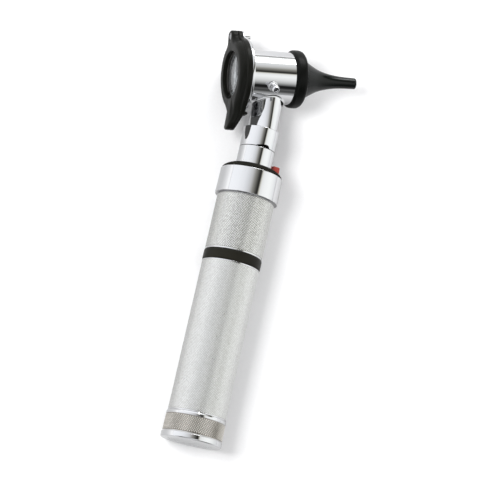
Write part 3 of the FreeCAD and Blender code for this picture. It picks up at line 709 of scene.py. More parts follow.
# Tail cap.
R_T, ZT0, ZT1 = span("tail_cap")
rows = corner([
    (0, ZT0 + 0.25), (11.6, ZT0 + 0.25, 0.1), (11.9, ZT0, 0.1), (R_T, ZT0, 0.75),
    (R_T, 2.75, 0.2), (R_T - 0.42, 3.2, 0.08), (R_T - 0.42, 3.3)])
rows = rows[:-1]
rows += [(15.05 - 0.24, 3.42, Vector((0, 1)), UPV)]
rows += knurl_rows(15.05, 3.5, 11.7, 0.24, 1.366)
tail = corner([(15.05 - 0.24, 11.7), (14.8, 11.82, 0.03), (14.97, 11.95, 0.05),
               (14.97, 12.95, 0.18), (14.6, 13.65, 0.06), (14.12, 13.65),
               (14.12, 4.2), (12.6, 4.2), (12.6, 3.0), (0, 3.0), (0, ZT0 + 0.25)])
rows += tail[1:-1]
cap = lathe("tail_cap_shell", rows, 160)
# knurl colours: two crest colours, the grooves' painted shade colour, roughness range
CCOL = ((0.93, 0.915, 0.89), (0.91, 0.895, 0.87), (0.56, 0.54, 0.51), 0.26, 0.34)
cap_mat = band_metal("tail_cap_knurl", CCOL, [(3.4, 11.75)], 15.05, 0.24)
piece(cap, "tail_cap", cap_mat, "knurled_chrome", "tail_cap")

# Control ring: smooth chromed collar with a turned inside.
R_C, ZC0, ZC1 = span("control_ring")
BX, BY = None, None
bs_lo, bs_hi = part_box("button_spring")
BX, BY = (bs_lo.x + bs_hi.x) / 2 / MM, (bs_lo.y + bs_hi.y) / 2 / MM
coll = lathe("control_collar", corner([
    (13.45, ZC0), (R_C - 0.1, ZC0, 0.04), (R_C, ZC0 + 0.1, 0.04), (R_C - 0.2, ZC1, 0.3),
    (9.6, ZC1, 0.05), (9.6, 137.3), (13.45, 137.3)], 8))
piece(coll, "control_ring", MAT["chrome"], "polished_chrome", "control_ring")
# painted shade: the down-facing lip takes the duller plated steel, for the dark seam line between collar and
# barrel
coll.data.materials.append(MAT["steel"])
for pl in coll.data.polygons:
    if pl.center.z < (ZC0 + 0.03) * MM and pl.normal.z < -0.8:
        pl.material_index = 1

# Domed black cap with the button's slot.
R_D, ZD0, ZD1 = span("ring_cap")
dome = lathe("control_cap", corner([
    (9.4, ZD0), (R_D, ZD0, 0.05), (R_D, ZD0 + 0.45, 0.25)]
    + spline([(15.1, ZD0 + 1.05), (14.35, ZD0 + 1.82), (13.3, ZD0 + 2.52),
              (12.15, ZD0 + 3.06), (11.1, ZD0 + 3.38)], 4)
    + [(10.4, ZD1, 0.3), (9.4, ZD1, 0.2)]), 200)
B_LO, B_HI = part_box("lock_button")
BTN_A = math.atan2(BY, BX)
BTN_M = Matrix.Rotation(BTN_A, 4, 'Z')


def rounded_block(name, x0, x1, w, z0, z1, rout, seg, crown, taper=0.0, grow=0.0):
    """Button block: plan of a rounded rectangle, edges rolled over at the top."""
    ring_pts = []
    rc = 0.75 + grow
    cx = (x0 + x1) / 2
    hx, hw = (x1 - x0) / 2 + grow, w / 2 + grow
    per = 6
    for qx, qy, a0 in ((1, 1, 0), (-1, 1, 90), (-1, -1, 180), (1, -1, 270)):
        for k in range(per + 1):
            a = math.radians(a0 + 90 * k / per)
            ring_pts.append((cx + qx * (hx - rc) + rc * math.cos(a),
                             qy * (hw - rc) + rc * math.sin(a)))
    n = len(ring_pts)
    levels = [(z0, 0.0)]
    if seg:
        levels.append((z1 - 0.55, taper))
        for k in range(1, seg + 1):
            a = math.pi / 2 * k / seg
            levels.append((z1 - 0.55 + 0.55 * math.sin(a), taper + 0.55 * (1 - math.cos(a))))
    else:
        levels.append((z1, 0.0))
    vs, fs = [], []
    for zl, ins in levels:
        for px, py in ring_pts:
            dx, dy = px - cx, py
            fx = max(0.05, 1 - ins / hx)
            fy = max(0.05, 1 - ins / hw)
            x, y = cx + dx * fx, dy * fy
            vs.append(Vector((x, y, zl)) * MM)
    if seg:
        zl = levels[-1][0]
        for fac in (0.8, 0.55, 0.3):
            ins = levels[-1][1]
            for px, py in ring_pts:
                dx, dy = (px - cx) * (1 - ins / hx) * fac, py * (1 - ins / hw) * fac
                vs.append(Vector((cx + dx, dy, zl + crown * (1 - fac ** 2))) * MM)
            levels.append((zl, ins))
    m = len(levels)
    for i in range(m - 1):
        for k in range(n):
            l = (k + 1) % n
            fs.append([i * n + k, i * n + l, (i + 1) * n + l, (i + 1) * n + k])
    fs.append([n - 1 - k for k in range(n)])
    fs.append([(m - 1) * n + k for k in range(n)])
    vs = [BTN_M @ v for v in vs]
    ob = new_object(name, vs, fs)
    return ob


slot_cut = rounded_block("slot_cut", 9.95, 14.15, 4.0, ZD0 - 2, ZD1 + 3, 0, 0, 0, grow=0.12)
boolean(dome, slot_cut)
auto_smooth(dome, 24)
piece(dome, "control_ring", MAT["dome"], "black_plastic", "ring_cap")
btn = rounded_block("lock_button_cap", 9.97, 14.13, 3.96, 140.6, B_HI.z / MM - 0.12, 0, 6, 0.12,
                    taper=0.14)
auto_smooth(btn, 40)
stem = lathe("lock_button_stem", corner([(0, B_LO.z / MM), (0.78, B_LO.z / MM, 0.15),
                                         (0.78, 141.0), (0, 141.0)]), 32, shift=(BX, BY))
btn = join([btn, stem], "lock_button_key")
piece(btn, "lock_button", MAT["red"], "red_plastic", "lock_button")

# Bayonet post: visible sleeve, stem and two lugs.
R_P, ZP0, ZP1 = span("bayonet_post")
post = lathe("bayonet_post_body", corner([
    (2.92, ZP0), (4.2, ZP0, 0.1), (4.2, 133.32), (R_P, 133.32, 0.2), (R_P, 151.95, 0.22),
    (6.0, 151.95), (6.0, ZP1, 0.5), (2.92, ZP1)], 8))
lugs = []
for a0 in (90, 270):
    vs, fs = [], []
    steps = 10
    for r_ in (5.9, 7.3):
        for z_ in (155.0, 157.0):
            for k in range(steps + 1):
                a = math.radians(a0 - 9 + 18 * k / steps)
                vs.append(Vector((r_ * math.cos(a), r_ * math.sin(a), z_)) * MM)
    s = steps + 1
    for k in range(steps):
        fs += [[k, s + k, s + k + 1, k + 1], [2 * s + k, 2 * s + k + 1, 3 * s + k + 1, 3 * s + k],
               [k, k + 1, 2 * s + k + 1, 2 * s + k], [s + k, 3 * s + k, 3 * s + k + 1, s + k + 1]]
    fs += [[0, 2 * s, 3 * s, s], [s - 1, 2 * s - 1, 4 * s - 1, 3 * s - 1]]
    lg = new_object("lug", vs, fs)
    bm = bmesh.new()
    bm.from_mesh(lg.data)
    bmesh.ops.recalc_face_normals(bm, faces=bm.faces)
    bm.to_mesh(lg.data)
    bm.free()
    auto_smooth(lg, 30)
    lugs.append(lg)
post = join([post] + lugs, "bayonet_post_chrome")
piece(post, "handle", MAT["chrome_neck"], "polished_chrome", "bayonet_post")

# ------------------------------------------------------------ neck sleeve
R_N, ZN0, ZN1 = span("neck_sleeve")
neck = lathe("neck_sleeve_shell", corner([
    (6.05, ZN0), (R_N, ZN0, 0.18), (R_N, ZN1, 0.28), (8.0, ZN1), (8.0, 159.5),
    (6.05, 159.5), (6.05, 157.2), (7.38, 157.2), (7.38, 154.8), (6.05, 154.8)], 8))
# ramp-shaped notch in its lower edge
prof = [(-3.5, ZN0 - 1), (-3.5, ZN0 + 0.25), (-2.7, ZN0 + 0.6), (-1.4, ZN0 + 0.95),
        (0.0, ZN0 + 1.25), (1.4, ZN0 + 1.5), (2.4, ZN0 + 1.5), (3.1, ZN0 + 1.1),
        (3.5, ZN0 + 0.4), (3.55, ZN0 - 1)]
na = math.radians(-90)
vs = []
for x in (7.2, 10.5):
    for y, zz in prof:
        vs.append(Matrix.Rotation(na, 4, 'Z') @ (Vector((x, y, zz)) * MM))
k = len(prof)
fs = [[i, (i + 1) % k, k + (i + 1) % k, k + i] for i in range(k)]
fs += [list(range(k))[::-1], list(range(k, 2 * k))]
cut = new_object("notch", vs, fs)
bm = bmesh.new()
bm.from_mesh(cut.data)
bmesh.ops.recalc_face_normals(bm, faces=bm.faces)
bm.to_mesh(cut.data)
bm.free()
boolean(neck, cut)
auto_smooth(neck, 24)
cyl_normals(neck, [(Matrix.Identity(4), R_N, 1.0)])
piece(neck, "head", MAT["chrome_neck"], "polished_chrome", "neck_sleeve")
# painted shade: the notch's faces take the dark metal, standing in for the shaded bayonet opening
neck.data.materials.append(MAT["dark_oxide"])
for pl in neck.data.polygons:
    c = pl.center / MM
    rr_ = math.hypot(c.x, c.y)
    aa = math.degrees(math.atan2(c.y, c.x)) + 90
    if 7.0 < rr_ < R_N - 0.03 and abs(aa) < 26 and c.z < ZN0 + 1.7 and \
            not (pl.normal.z < -0.99 and abs(c.z - ZN0) < 0.05):
        pl.material_index = 1

# ------------------------------------------------------------ head housing
lo, hi = hspan("head_housing")
HS1 = 8.0
HS0 = -16.1
HR, HB = 13.45, 11.6
NR = 7.64
FIL = 1.6
Z0H = H0.z / MM
NZ0, NZ1 = 159.55, 162.7


def saddle(alpha, rn, rh):
    """Height of the point at radius rn from the neck axis that is rh from the
    sight line, on the underside."""
    x, y = rn * math.cos(alpha), rn * math.sin(alpha)
    A = 1 - D.z ** 2
    B = -2 * x * D.x * D.z
    C = x * x + y * y - (x * D.x) ** 2 - rh * rh
    zz = (-B - math.sqrt(B * B - 4 * A * C)) / (2 * A)
    return Vector((x, y, Z0H + zz))


def housing():
    NA = 192                      # points round the neck
    rows_v, rows_n = [], []
    # neck up to the fillet, from the inner spigot outwards
    neck_prof = corner([(4.6, NZ0), (7.98, NZ0, 0.1), (7.98, NZ1, 0.03), (NR, NZ1, 0.03),
                        (NR, NZ1 + 0.4)], 4)
    al = [2 * math.pi * k / NA for k in range(NA)]
    first = neck_prof[0]
    for r_, z_, ti, to in neck_prof[:-1]:
        rows_v.append([Vector((r_ * math.cos(a), r_ * math.sin(a), z_)) for a in al])
        rows_n.append([(Vector((ti.y * math.cos(a), ti.y * math.sin(a), -ti.x)),
                        Vector((to.y * math.cos(a), to.y * math.sin(a), -to.x))) for a in al])
    # straight neck to each azimuth's fillet start
    steps = 9
    cen = [saddle(a, NR + FIL, HR + FIL) for a in al]
    for f in (0.0, 0.5, 1.0):
        row, nr = [], []
        for a, c in zip(al, cen):
            zz = NZ1 + 0.1 + (c.z - NZ1 - 0.1) * f
            row.append(Vector((NR * math.cos(a), NR * math.sin(a), zz)))
            # the polish leaves the stub very slightly out of round
            off = math.radians(16) * (1 - 0.75 * f) * max(0.0, math.cos(a + math.radians(106.4)))
            v = Vector((math.cos(a - off), math.sin(a - off), 0))
            nr.append((v, v))
        rows_v.append(row)
        rows_n.append(nr)
    ends = []
    for kf in range(1, steps + 1):
        row, nr = [], []
        for a, c in zip(al, cen):
            p0 = Vector((NR * math.cos(a), NR * math.sin(a), c.z)) - c
            rel = c - Vector((0, 0, Z0H))
            ax = D * rel.dot(D)
            p1 = -(rel - ax).normalized() * FIL
            p1 = (rel - ax).normalized() * -FIL
            w = kf / steps
            q = p0.normalized().slerp(p1.normalized(), w) * FIL
            row.append(c + q)
            v = -q.normalized()
            nr.append((v, v))
        rows_v.append(row)
        rows_n.append(nr)
        if kf == steps:
            ends = row
    # patch on the cylinder between the fillet's foot and a rectangle in (s, phi)
    per = NA // 4
    s_a, s_b = -13.2, 6.8
    ph_lim = math.radians(72)

    def cyl(s, ph, r=HR):
        # phi = 0 straight down, positive towards -Y
        h, y = -r * math.cos(ph), -r * math.sin(ph)
        return Vector((0, 0, Z0H)) + D * s + U * h + Vector((0, y, 0))

    def cnorm(ph):
        return (U * -math.cos(ph) + Vector((0, -math.sin(ph), 0)))

    foot = []
    for p in ends:
        rel = p - Vector((0, 0, Z0H))
        foot.append((rel.dot(D), math.atan2(-rel.y, -rel.dot(U))))
    # rectangle corners sit at alpha = 45, 135, 225, 315 degrees
    half = per // 2
    rect = [None] * NA
    for k in range(NA):
        kk = (k + half) % NA
        side, i = divmod(kk, per)
        f = i / per
        if side == 0:      # front (+s) edge: alpha -45..45, y from -Y to +Y
            rect[k] = (s_b, ph_lim * (1 - 2 * f))
        elif side == 1:    # +Y edge
            rect[k] = (s_b + (s_a - s_b) * f, -ph_lim)
        elif side == 2:
            rect[k] = (s_a, -ph_lim * (1 - 2 * f))
        else:
            rect[k] = (s_a + (s_b - s_a) * f, ph_lim)
    for f in (0.08, 0.2, 0.4, 0.65, 1.0):
        row, nr = [], []
        for k in range(NA):
            s_ = foot[k][0] + (rect[k][0] - foot[k][0]) * f
            p_ = foot[k][1] + (rect[k][1] - foot[k][1]) * f
            row.append(cyl(s_, p_))
            v = cnorm(p_)
            nr.append((v, v))
        rows_v.append(row)
        rows_n.append(nr)
    verts, faces, norms = [], [], []
    base = []
    for row in rows_v:
        base.append(len(verts))
        verts += row
    for i in range(len(rows_v) - 1):
        for k in range(NA):
            l = (k + 1) % NA
            faces.append([base[i] + k, base[i] + l, base[i + 1] + l, base[i + 1] + k])
            norms += [rows_n[i][k][1], rows_n[i][l][1], rows_n[i + 1][l][0], rows_n[i + 1][k][0]]
    last = base[-1]
    # side arcs of the cylinder share the rectangle's points
    key = {}

    def vid(s, ph):
        k = (round(s, 5), round(math.atan2(math.sin(ph), math.cos(ph)), 6))
        if k not in key:
            key[k] = len(verts)
            verts.append(cyl(s, ph))
        return key[k]

    for k in range(NA):
        s_, p_ = rect[k]
        key[(round(s_, 5), round(p_, 6))] = last + k
    ph_front = [ph_lim * (1 - 2 * i / per) for i in range(per + 1)]
    far = 150
    ph_back = [-ph_lim - (2 * math.pi - 2 * ph_lim) * i / far for i in range(far + 1)]
    loop = ph_front + ph_back[1:-1]           # full turn of phi values
    s_line = [s_b + (s_a - s_b) * i / per for i in range(per + 1)]

    def quad(a, b, c, d, na, nb, nc, nd):
        faces.append([a, b, c, d])
        norms.extend([na, nb, nc, nd])

    # back of the cylinder over the patch's s range
    for i in range(len(ph_back) - 1):
        for j in range(per):
            p0, p1 = ph_back[i], ph_back[i + 1]
            quad(vid(s_line[j], p0), vid(s_line[j], p1), vid(s_line[j + 1], p1),
                 vid(s_line[j + 1], p0), cnorm(p0), cnorm(p1), cnorm(p1), cnorm(p0))
    # front end: plain band, chamfer, face, bore
    fpro = corner([(HR, s_b), (HR, HS1, 0.3), (HB, HS1), (HB, HS0), (HR, HS0, 0.12), (HR, s_a)], 6)
    fpro = [p for p in fpro]
    ringid = []
    nL = len(loop)
    for r_, s_, ti, to in fpro:
        if abs(r_ - HR) < 1e-6 and (abs(s_ - s_b) < 1e-6 or abs(s_ - s_a) < 1e-6):
            ringid.append([vid(s_, ph) for ph in loop])
        else:
            ids = []
            for ph in loop:
                ids.append(len(verts))
                verts.append(cyl(s_, ph, r_))
            ringid.append(ids)

    def rn(t, ph):
        # outward is to the left of travel here
        return (cnorm(ph) * -t.y * -1 + D * -t.x * 1) if False else (cnorm(ph) * t.y - D * t.x)

    for i in range(len(fpro) - 1):
        for k in range(nL):
            l = (k + 1) % nL
            a, b = fpro[i], fpro[i + 1]
            faces.append([ringid[i][k], ringid[i][l], ringid[i + 1][l], ringid[i + 1][k]])
            norms += [rn(a[3], loop[k]), rn(a[3], loop[l]), rn(b[2], loop[l]), rn(b[2], loop[k])]
    # neck bore from the spigot's end up to the head's bore
    bore_r = 4.6
    row = []
    b0 = base[0]
    top = len(verts)
    inner = []
    for k in range(NA):
        p = saddle(al[k], bore_r, HB + 0.9)
        inner.append(len(verts))
        verts.append(p)
    for k in range(NA):
        l = (k + 1) % NA
        faces.append([b0 + l, b0 + k, inner[k], inner[l]])
        n0, n1 = (Vector((-math.cos(al[k]), -math.sin(al[k]), 0)),
                  Vector((-math.cos(al[l]), -math.sin(al[l]), 0)))
        norms += [n1, n0, n0, n1]
    cen_i = len(verts)
    verts.append(saddle(0, 0.0001, HB + 0.9))
    for k in range(NA):
        l = (k + 1) % NA
        faces.append([inner[k], cen_i, inner[l]])
        norms += [Vector((0, 0, -1))] * 3
    # face orientation: match the wanted normals
    ff, nn, c = [], [], 0
    for f in faces:
        n = norms[c:c + len(f)]
        c += len(f)
        p = [verts[i] for i in f]
        g = (p[1] - p[0]).cross(p[2] - p[0])
        if len(f) == 4:
            g = (p[2] - p[0]).cross(p[3] - p[1])
        avg = sum(n, Vector((0, 0, 0)))
        if g.dot(avg) < 0:
            f, n = f[::-1], n[::-1]
        ff.append(f)
        nn += [v.normalized() for v in n]
    return new_object("head_shell", [v * MM for v in verts], ff, nn)


head = housing()
piece(head, "head", MAT["chrome_neck"], "polished_chrome", "head_housing")


# ------------------------------------------------------------ lobed outlines
def lobed(R, top, bot, per=(26, 30, 26, 150, 26, 40, 26, 150)):
    """Points and outward normals round a circle with one or two lobes, always
    the same count. top and bot are (centre h, end radius, blend radius)."""
    def keys(lobe):
        h0, rho, rf = lobe
        s = 1 if h0 > 0 else -1
        a, b, c = R + rf, rho + rf, abs(h0)
        x = (a * a - b * b + c * c) / (2 * c)
        y = math.sqrt(max(a * a - x * x, 1e-9))
        return s, Vector((s * x, y)), Vector((h0, 0)), rho, rf

    out = []

    def arc(c, r, a0, a1, n, sg=1.0):
        for k in range(n):
            a = a0 + (a1 - a0) * k / n
            d = Vector((math.cos(a), math.sin(a)))
            out.append((c + d * r, d * sg))

    Z = Vector((0, 0))
    s, cf, ct, rho, rf = keys(top)
    a_ring = math.atan2(cf.y, cf.x)
    e = (cf - ct)
    a_lobe = math.atan2(e.y, e.x)
    # going counterclockwise from the middle of the top lobe
    arc(ct, rho, -a_lobe, a_lobe, per[1])
    f0 = math.atan2(ct.y - cf.y, ct.x - cf.x)
    f1 = math.atan2(-cf.y, -cf.x)
    if f0 < f1:
        f0 += 2 * math.pi
    arc(cf, rf, f0, f1 if abs(f1 - f0) < math.pi else f1 + 2 * math.pi * (1 if f1 < f0 - math.pi else -1),
        per[2], -1.0)
    s2, cf2, ct2, rho2, rf2 = keys(bot)
    b_ring = math.atan2(cf2.y, cf2.x)
    arc(Z, R, a_ring, b_ring, per[3])
    g0 = math.atan2(-cf2.y, -cf2.x)
    g1 = math.atan2(ct2.y - cf2.y, ct2.x - cf2.x)
    while g1 - g0 > math.pi:
        g1 -= 2 * math.pi
    while g1 - g0 < -math.pi:
        g1 += 2 * math.pi
    arc(cf2, rf2, g0, g1, per[4], -1.0)
    e2 = cf2 - ct2
    b_l = math.atan2(e2.y, e2.x)
    arc(ct2, rho2, b_l, 2 * math.pi - b_l, per[5])
    # mirror of the two blends and the ring on the other side
    n2 = []
    arc(Vector((cf2.x, -cf2.y)), rf2, -g1, -g0, per[6], -1.0)
    arc(Z, R, -b_ring, -a_ring, per[7])
    arc(Vector((cf.x, -cf.y)), rf, -(f1 if abs(f1 - f0) < math.pi else f1 + 2 * math.pi * (1 if f1 < f0 - math.pi else -1)),
        -f0, per[0], -1.0)
    return out


def loft(name, loops, closed=True, M=HEAD):
    """Skins a list of equal-length loops of Vectors in mm, in the head frame."""
    n = len(loops[0])
    vs = [M @ (v * MM) for lp in loops for v in lp]
    fs = []
    m = len(loops)
    for i in range(m if closed else m - 1):
        j = (i + 1) % m
        for k in range(n):
            l = (k + 1) % n
            fs.append([i * n + k, i * n + l, j * n + l, j * n + k])
    ob = new_object(name, vs, fs)
    bm = bmesh.new()
    bm.from_mesh(ob.data)
    bmesh.ops.recalc_face_normals(bm, faces=bm.faces)
    bm.to_mesh(ob.data)
    bm.free()
    return ob


# Lens frame. Levels run round the section: outer wall from front to rear,
# rear face, opening, lens seat, front lip, front face.
flo, fhi = hspan("lens_frame")
S_F, S_R = -17.0, -22.96
R_F = 19.06


def frame_loop(R, lobe_cut, s, z_mix, inset=0.0):
    """Outline at radius R with both lobes; lobe_cut shrinks the lobe ends;
    z_mix 0 front to 1 rear sets how far the finger tab sweeps back."""
    o = lobed(R - inset, (19.1, 4.0 - lobe_cut - inset, 5.0 + inset),
              (-23.6, 4.9 - lobe_cut - inset, 16.0 + inset))
    lp = []
    for p, nrm in o:
        h, y = p.x, p.y
        back_front, back_rear = 4.3, 2.85
        t = max(0.0, (-h - 19.6) / (28.5 - 19.6))
        t = t * t * (3 - 2 * t) * 0.35 + t * 0.65
        sh = -(back_front + (back_rear - back_front) * z_mix) * t
        lp.append(Vector((h, y, s + sh)))
    return lp


def circle_loop(like, r, s):
    out = []
    for v in like:
        a = math.atan2(v.y, v.x)
        out.append(Vector((r * math.cos(a), r * math.sin(a), s)))
    return out


def even_circle(like, r, s, fac):
    """Circle at the outline's own angles, the same as circle_loop."""
    return circle_loop(like, r, s)


L = []
# front edge, outer wall of the base ring
L.append(frame_loop(R_F, 0, S_F, 0.0, 0.28))
L.append(frame_loop(R_F, 0, S_F - 0.06, 0.01, 0.1))
L.append(frame_loop(R_F, 0, S_F - 0.25, 0.04, 0.0))
L.append(frame_loop(R_F, 0, S_F - 0.5, 0.08, 0.0))
L.append(frame_loop(R_F, 0, -18.9, 0.3, 0.0))
L.append(frame_loop(R_F, 0, -19.15, 0.35, 0.03))
L.append(frame_loop(R_F, 0, -19.42, 0.4, 0.16))
L.append(frame_loop(R_F, 0, -19.6, 0.43, 0.38))
L.append(frame_loop(R_F, 0, -19.7, 0.45, 0.62))
# step in the wall, fading out over the lobes
L.append(frame_loop(18.05, 0.02, -19.78, 0.46, 0.0))
L.append(frame_loop(17.92, 0.02, -19.98, 0.5, 0.0))
L.append(frame_loop(17.86, 0.02, -20.3, 0.55, 0.0))
L.append(frame_loop(17.7, 0.03, -20.9, 0.65, 0.0))
L.append(frame_loop(17.45, 0.05, -21.5, 0.75, 0.0))
L.append(frame_loop(17.15, 0.08, -21.95, 0.82, 0.0))
L.append(frame_loop(16.75, 0.2, -22.38, 0.9, 0.0))
L.append(frame_loop(16.35, 0.38, -22.66, 0.95, 0.0))
L.append(frame_loop(15.9, 0.62, -22.85, 0.98, 0.0))
L.append(frame_loop(15.45, 0.95, S_R, 1.0, 0.0))
rim = L[-1]
c0 = circle_loop(rim, 12.55, S_R)
for f in (0.3, 0.62, 0.85):
    row = []
    for a, b in zip(rim, c0):
        v = a.lerp(b, f)
        row.append(v)
    L.append(row)
L.append(c0)
for r_, s_ in ((12.38, -22.93), (12.26, -22.84), (12.2, -22.7), (12.2, -22.5), (12.2, -20.85),
               (12.2, -20.76), (12.5, -20.76), (12.5, -19.95), (12.2, -19.95), (12.2, -17.9),
               (11.2, -17.9), (11.2, -17.15), (11.3, -17.04), (11.45, S_F)):
    L.append(circle_loop(rim, r_, s_))
f0 = L[0]
for f in (0.3, 0.7):
    L.append([a.lerp(b, f) if True else a for a, b in zip(circle_loop(rim, 11.45, S_F), f0)])
# keep the front face flat away from the tab
fr = loft("lens_frame_body", L, M=REAR)
bm = bmesh.new()
bm.from_mesh(fr.data)
bmesh.ops.remove_doubles(bm, verts=bm.verts, dist=1e-8)
bm.to_mesh(fr.data)
bm.free()


def prism_h(name, pts, y0, y1, bev=0.25, M=REAR):
    """Block from (h, s) outline between two local y values, edges rounded."""
    k = len(pts)
    vs = [M @ (Vector((h, y, s)) * MM) for y in (y0, y1) for h, s in pts]
    fs = [[i, (i + 1) % k, k + (i + 1) % k, k + i] for i in range(k)]
    fs += [list(range(k))[::-1], list(range(k, 2 * k))]
    ob = new_object(name, vs, fs)
    bm = bmesh.new()
    bm.from_mesh(ob.data)
    bmesh.ops.recalc_face_normals(bm, faces=bm.faces)
    if bev:
        bmesh.ops.bevel(bm, geom=list(bm.edges), offset=bev * MM, segments=3, affect='EDGES',
                        profile=0.6)
    bm.to_mesh(ob.data)
    bm.free()
    return ob


nib = prism_h("nib", [(-18.3, -18.9), (-19.45, -16.95), (-19.85, -15.7), (-20.35, -15.2),
                      (-20.95, -15.5), (-21.7, -18.9)], 0.8, 5.2, 0.3)
boolean(fr, nib, 'UNION')


def cyl_cutter(name, r, h, s0, s1, n=48):
    return lathe(name, corner([(0, s0), (r, s0), (r, s1), (0, s1)]), n, REAR, shift=(h, 0.0))


boolean(fr, cyl_cutter("c1", 1.25, PIVOT_H, -26, -16))
boolean(fr, cyl_cutter("c2", 2.05, PIVOT_H, -26, -21.4))
bm = bmesh.new()
bm.from_mesh(fr.data)
bmesh.ops.remove_doubles(bm, verts=bm.verts, dist=2e-7)
bm.to_mesh(fr.data)
bm.free()
auto_smooth(fr, 28)
piece(fr, "lens_frame", MAT["frame_black"], "black_plastic", "lens_frame")

# Magnifier: plano-convex, ground edge with small bevels.
LR, CROWN = 12.1, 43.9
arcp = []
for k in range(25):
    r_ = LR * k / 24
    arcp.append((r_, -21.5 + CROWN - math.sqrt(CROWN ** 2 - r_ ** 2), 's'))
lens = lathe("magnifier_glass", corner(
    [(0, -17.95)] + [(LR * k / 6, -17.95) for k in range(1, 6)] + [(LR, -17.95, 0.15)]
    + [(LR, arcp[-1][1] + 0.12, 0.1)] + [(a, b, 's') for a, b, _ in arcp[::-1]], 4), 192, REAR)
piece(lens, "lens_frame", MAT["lens"], "lens_glass", "magnifier_lens")


# Split retaining ring.
def split_ring(name, r_in, r_out, s0, s1, a0, a1, n=180):
    rr = [(r_in, s0), (r_out, s0), (r_out, s1), (r_in, s1)]
    c = 0.12
    sec = []
    cx, cs = (r_in + r_out) / 2, (s0 + s1) / 2
    for k in range(16):
        a = 2 * math.pi * k / 16
        sec.append((cx + (r_out - r_in) / 2 * max(-1, min(1, 1.25 * math.cos(a))),
                    cs + (s1 - s0) / 2 * max(-1, min(1, 1.25 * math.sin(a)))))
    vs, fs = [], []
    for i in range(n + 1):
        a = math.radians(a0 + (a1 - a0) * i / n)
        for r_, s_ in sec:
            vs.append(REAR @ (Vector((r_ * math.cos(a), r_ * math.sin(a), s_)) * MM))
    m = len(sec)
    for i in range(n):
        for k in range(m):
            l = (k + 1) % m
            fs.append([i * m + k, i * m + l, (i + 1) * m + l, (i + 1) * m + k])
    fs += [list(range(m))[::-1], [n * m + k for k in range(m)]]
    ob = new_object(name, vs, fs)
    bm = bmesh.new()
    bm.from_mesh(ob.data)
    bmesh.ops.recalc_face_normals(bm, faces=bm.faces)
    bm.to_mesh(ob.data)
    bm.free()
    auto_smooth(ob, 35)
    return ob


snap = split_ring("lens_snap_ring", 11.75, 12.48, -20.73, -19.98, 236, 236 + 348)
piece(snap, "lens_frame", MAT["dark_steel"], "steel", "lens_retaining_ring")

# Rear flange: thin chromed plate with a pivot lobe and a spigot.
FT0, FT1 = HS0 - 1.25, HS0 - 0.01


def flange_loop(inset, s):
    R = R_F - inset
    o = lobed(R, (PIVOT_H - 0.3, 3.3 - inset, 4.0 + inset), (-R + 1.0, 1.0 - inset * 0.0, 4.0))
    return [Vector((p.x, p.y, s)) for p, _ in o]


def flange_outline(inset, s):
    R = R_F - inset
    h0, rho, rf = PIVOT_H - 0.3, 3.3 - inset, 4.0 + inset
    a, b, c = R + rf, rho + rf, h0
    x = (a * a - b * b + c * c) / (2 * c)
    y = math.sqrt(a * a - x * x)
    cf = Vector((x, y))
    aR = math.atan2(cf.y, cf.x)
    e = cf - Vector((h0, 0))
    aL = math.atan2(e.y, e.x)
    pts = []
    for k in range(30):
        w = -aL + 2 * aL * k / 30
        pts.append(Vector((h0 + rho * math.cos(w), rho * math.sin(w), s)))
    f0 = math.atan2(-e.y, -e.x)
    f1 = math.atan2(-cf.y, -cf.x)
    while f1 - f0 > math.pi:
        f1 -= 2 * math.pi
    while f1 - f0 < -math.pi:
        f1 += 2 * math.pi
    for k in range(16):
        w = f0 + (f1 - f0) * k / 16
        pts.append(Vector((cf.x + rf * math.cos(w), cf.y + rf * math.sin(w), s)))
    for k in range(220):
        w = aR + (2 * math.pi - 2 * aR) * k / 220
        pts.append(Vector((R * math.cos(w), R * math.sin(w), s)))
    for k in range(16):
        w = -f1 + (-f0 + f1) * k / 16
        pts.append(Vector((cf.x + rf * math.cos(w), -cf.y + rf * math.sin(w), s)))
    return pts


FL = [flange_outline(0.22, FT0), flange_outline(0.16, FT0 + 0.01), flange_outline(0.05, FT0 + 0.06),
      flange_outline(0.0, FT0 + 0.18), flange_outline(0.0, FT1 - 0.18),
      flange_outline(0.05, FT1 - 0.06), flange_outline(0.16, FT1 - 0.01), flange_outline(0.22, FT1)]
ref = FL[0]
FL += [[a.lerp(b, f) for a, b in zip(FL[7], circle_loop(ref, 11.75, FT1))] for f in (0.35, 0.7)]
for r_, s_ in ((11.58, FT1), (11.58, FT1 + 0.1), (11.58, -13.2), (11.5, -13.1), (10.98, -13.1),
               (10.9, -13.2), (10.9, FT0 + 0.12), (10.98, FT0 + 0.03), (11.1, FT0),
               (12.55, FT0), (12.6, FT0 + 0.05), (12.6, FT0 + 0.45), (14.2, FT0 + 0.45),
               (14.2, FT0 + 0.05), (14.25, FT0)):
    FL.append(circle_loop(ref, r_, s_))
FL += [[a.lerp(b, f) for a, b in zip(circle_loop(ref, 14.25, FT0), FL[0])] for f in (0.35, 0.75)]
fl = loft("rear_plate", FL)
boolean(fl, cyl_cutter("c3", 0.92, PIVOT_H, -20, -14))
auto_smooth(fl, 30)
piece(fl, "head", MAT["chrome"], "polished_chrome", "rear_flange")
# the flange's front face takes a darker satin finish; its darkness is painted shade, so the neck stub reflects it
# dark
fl.data.materials.append(MAT["satin"])
for pl in fl.data.polygons:
    if pl.normal.dot(D) > 0.97 and (HEAD_INV @ pl.center).z / MM > FT1 - 0.02:
        pl.material_index = 1

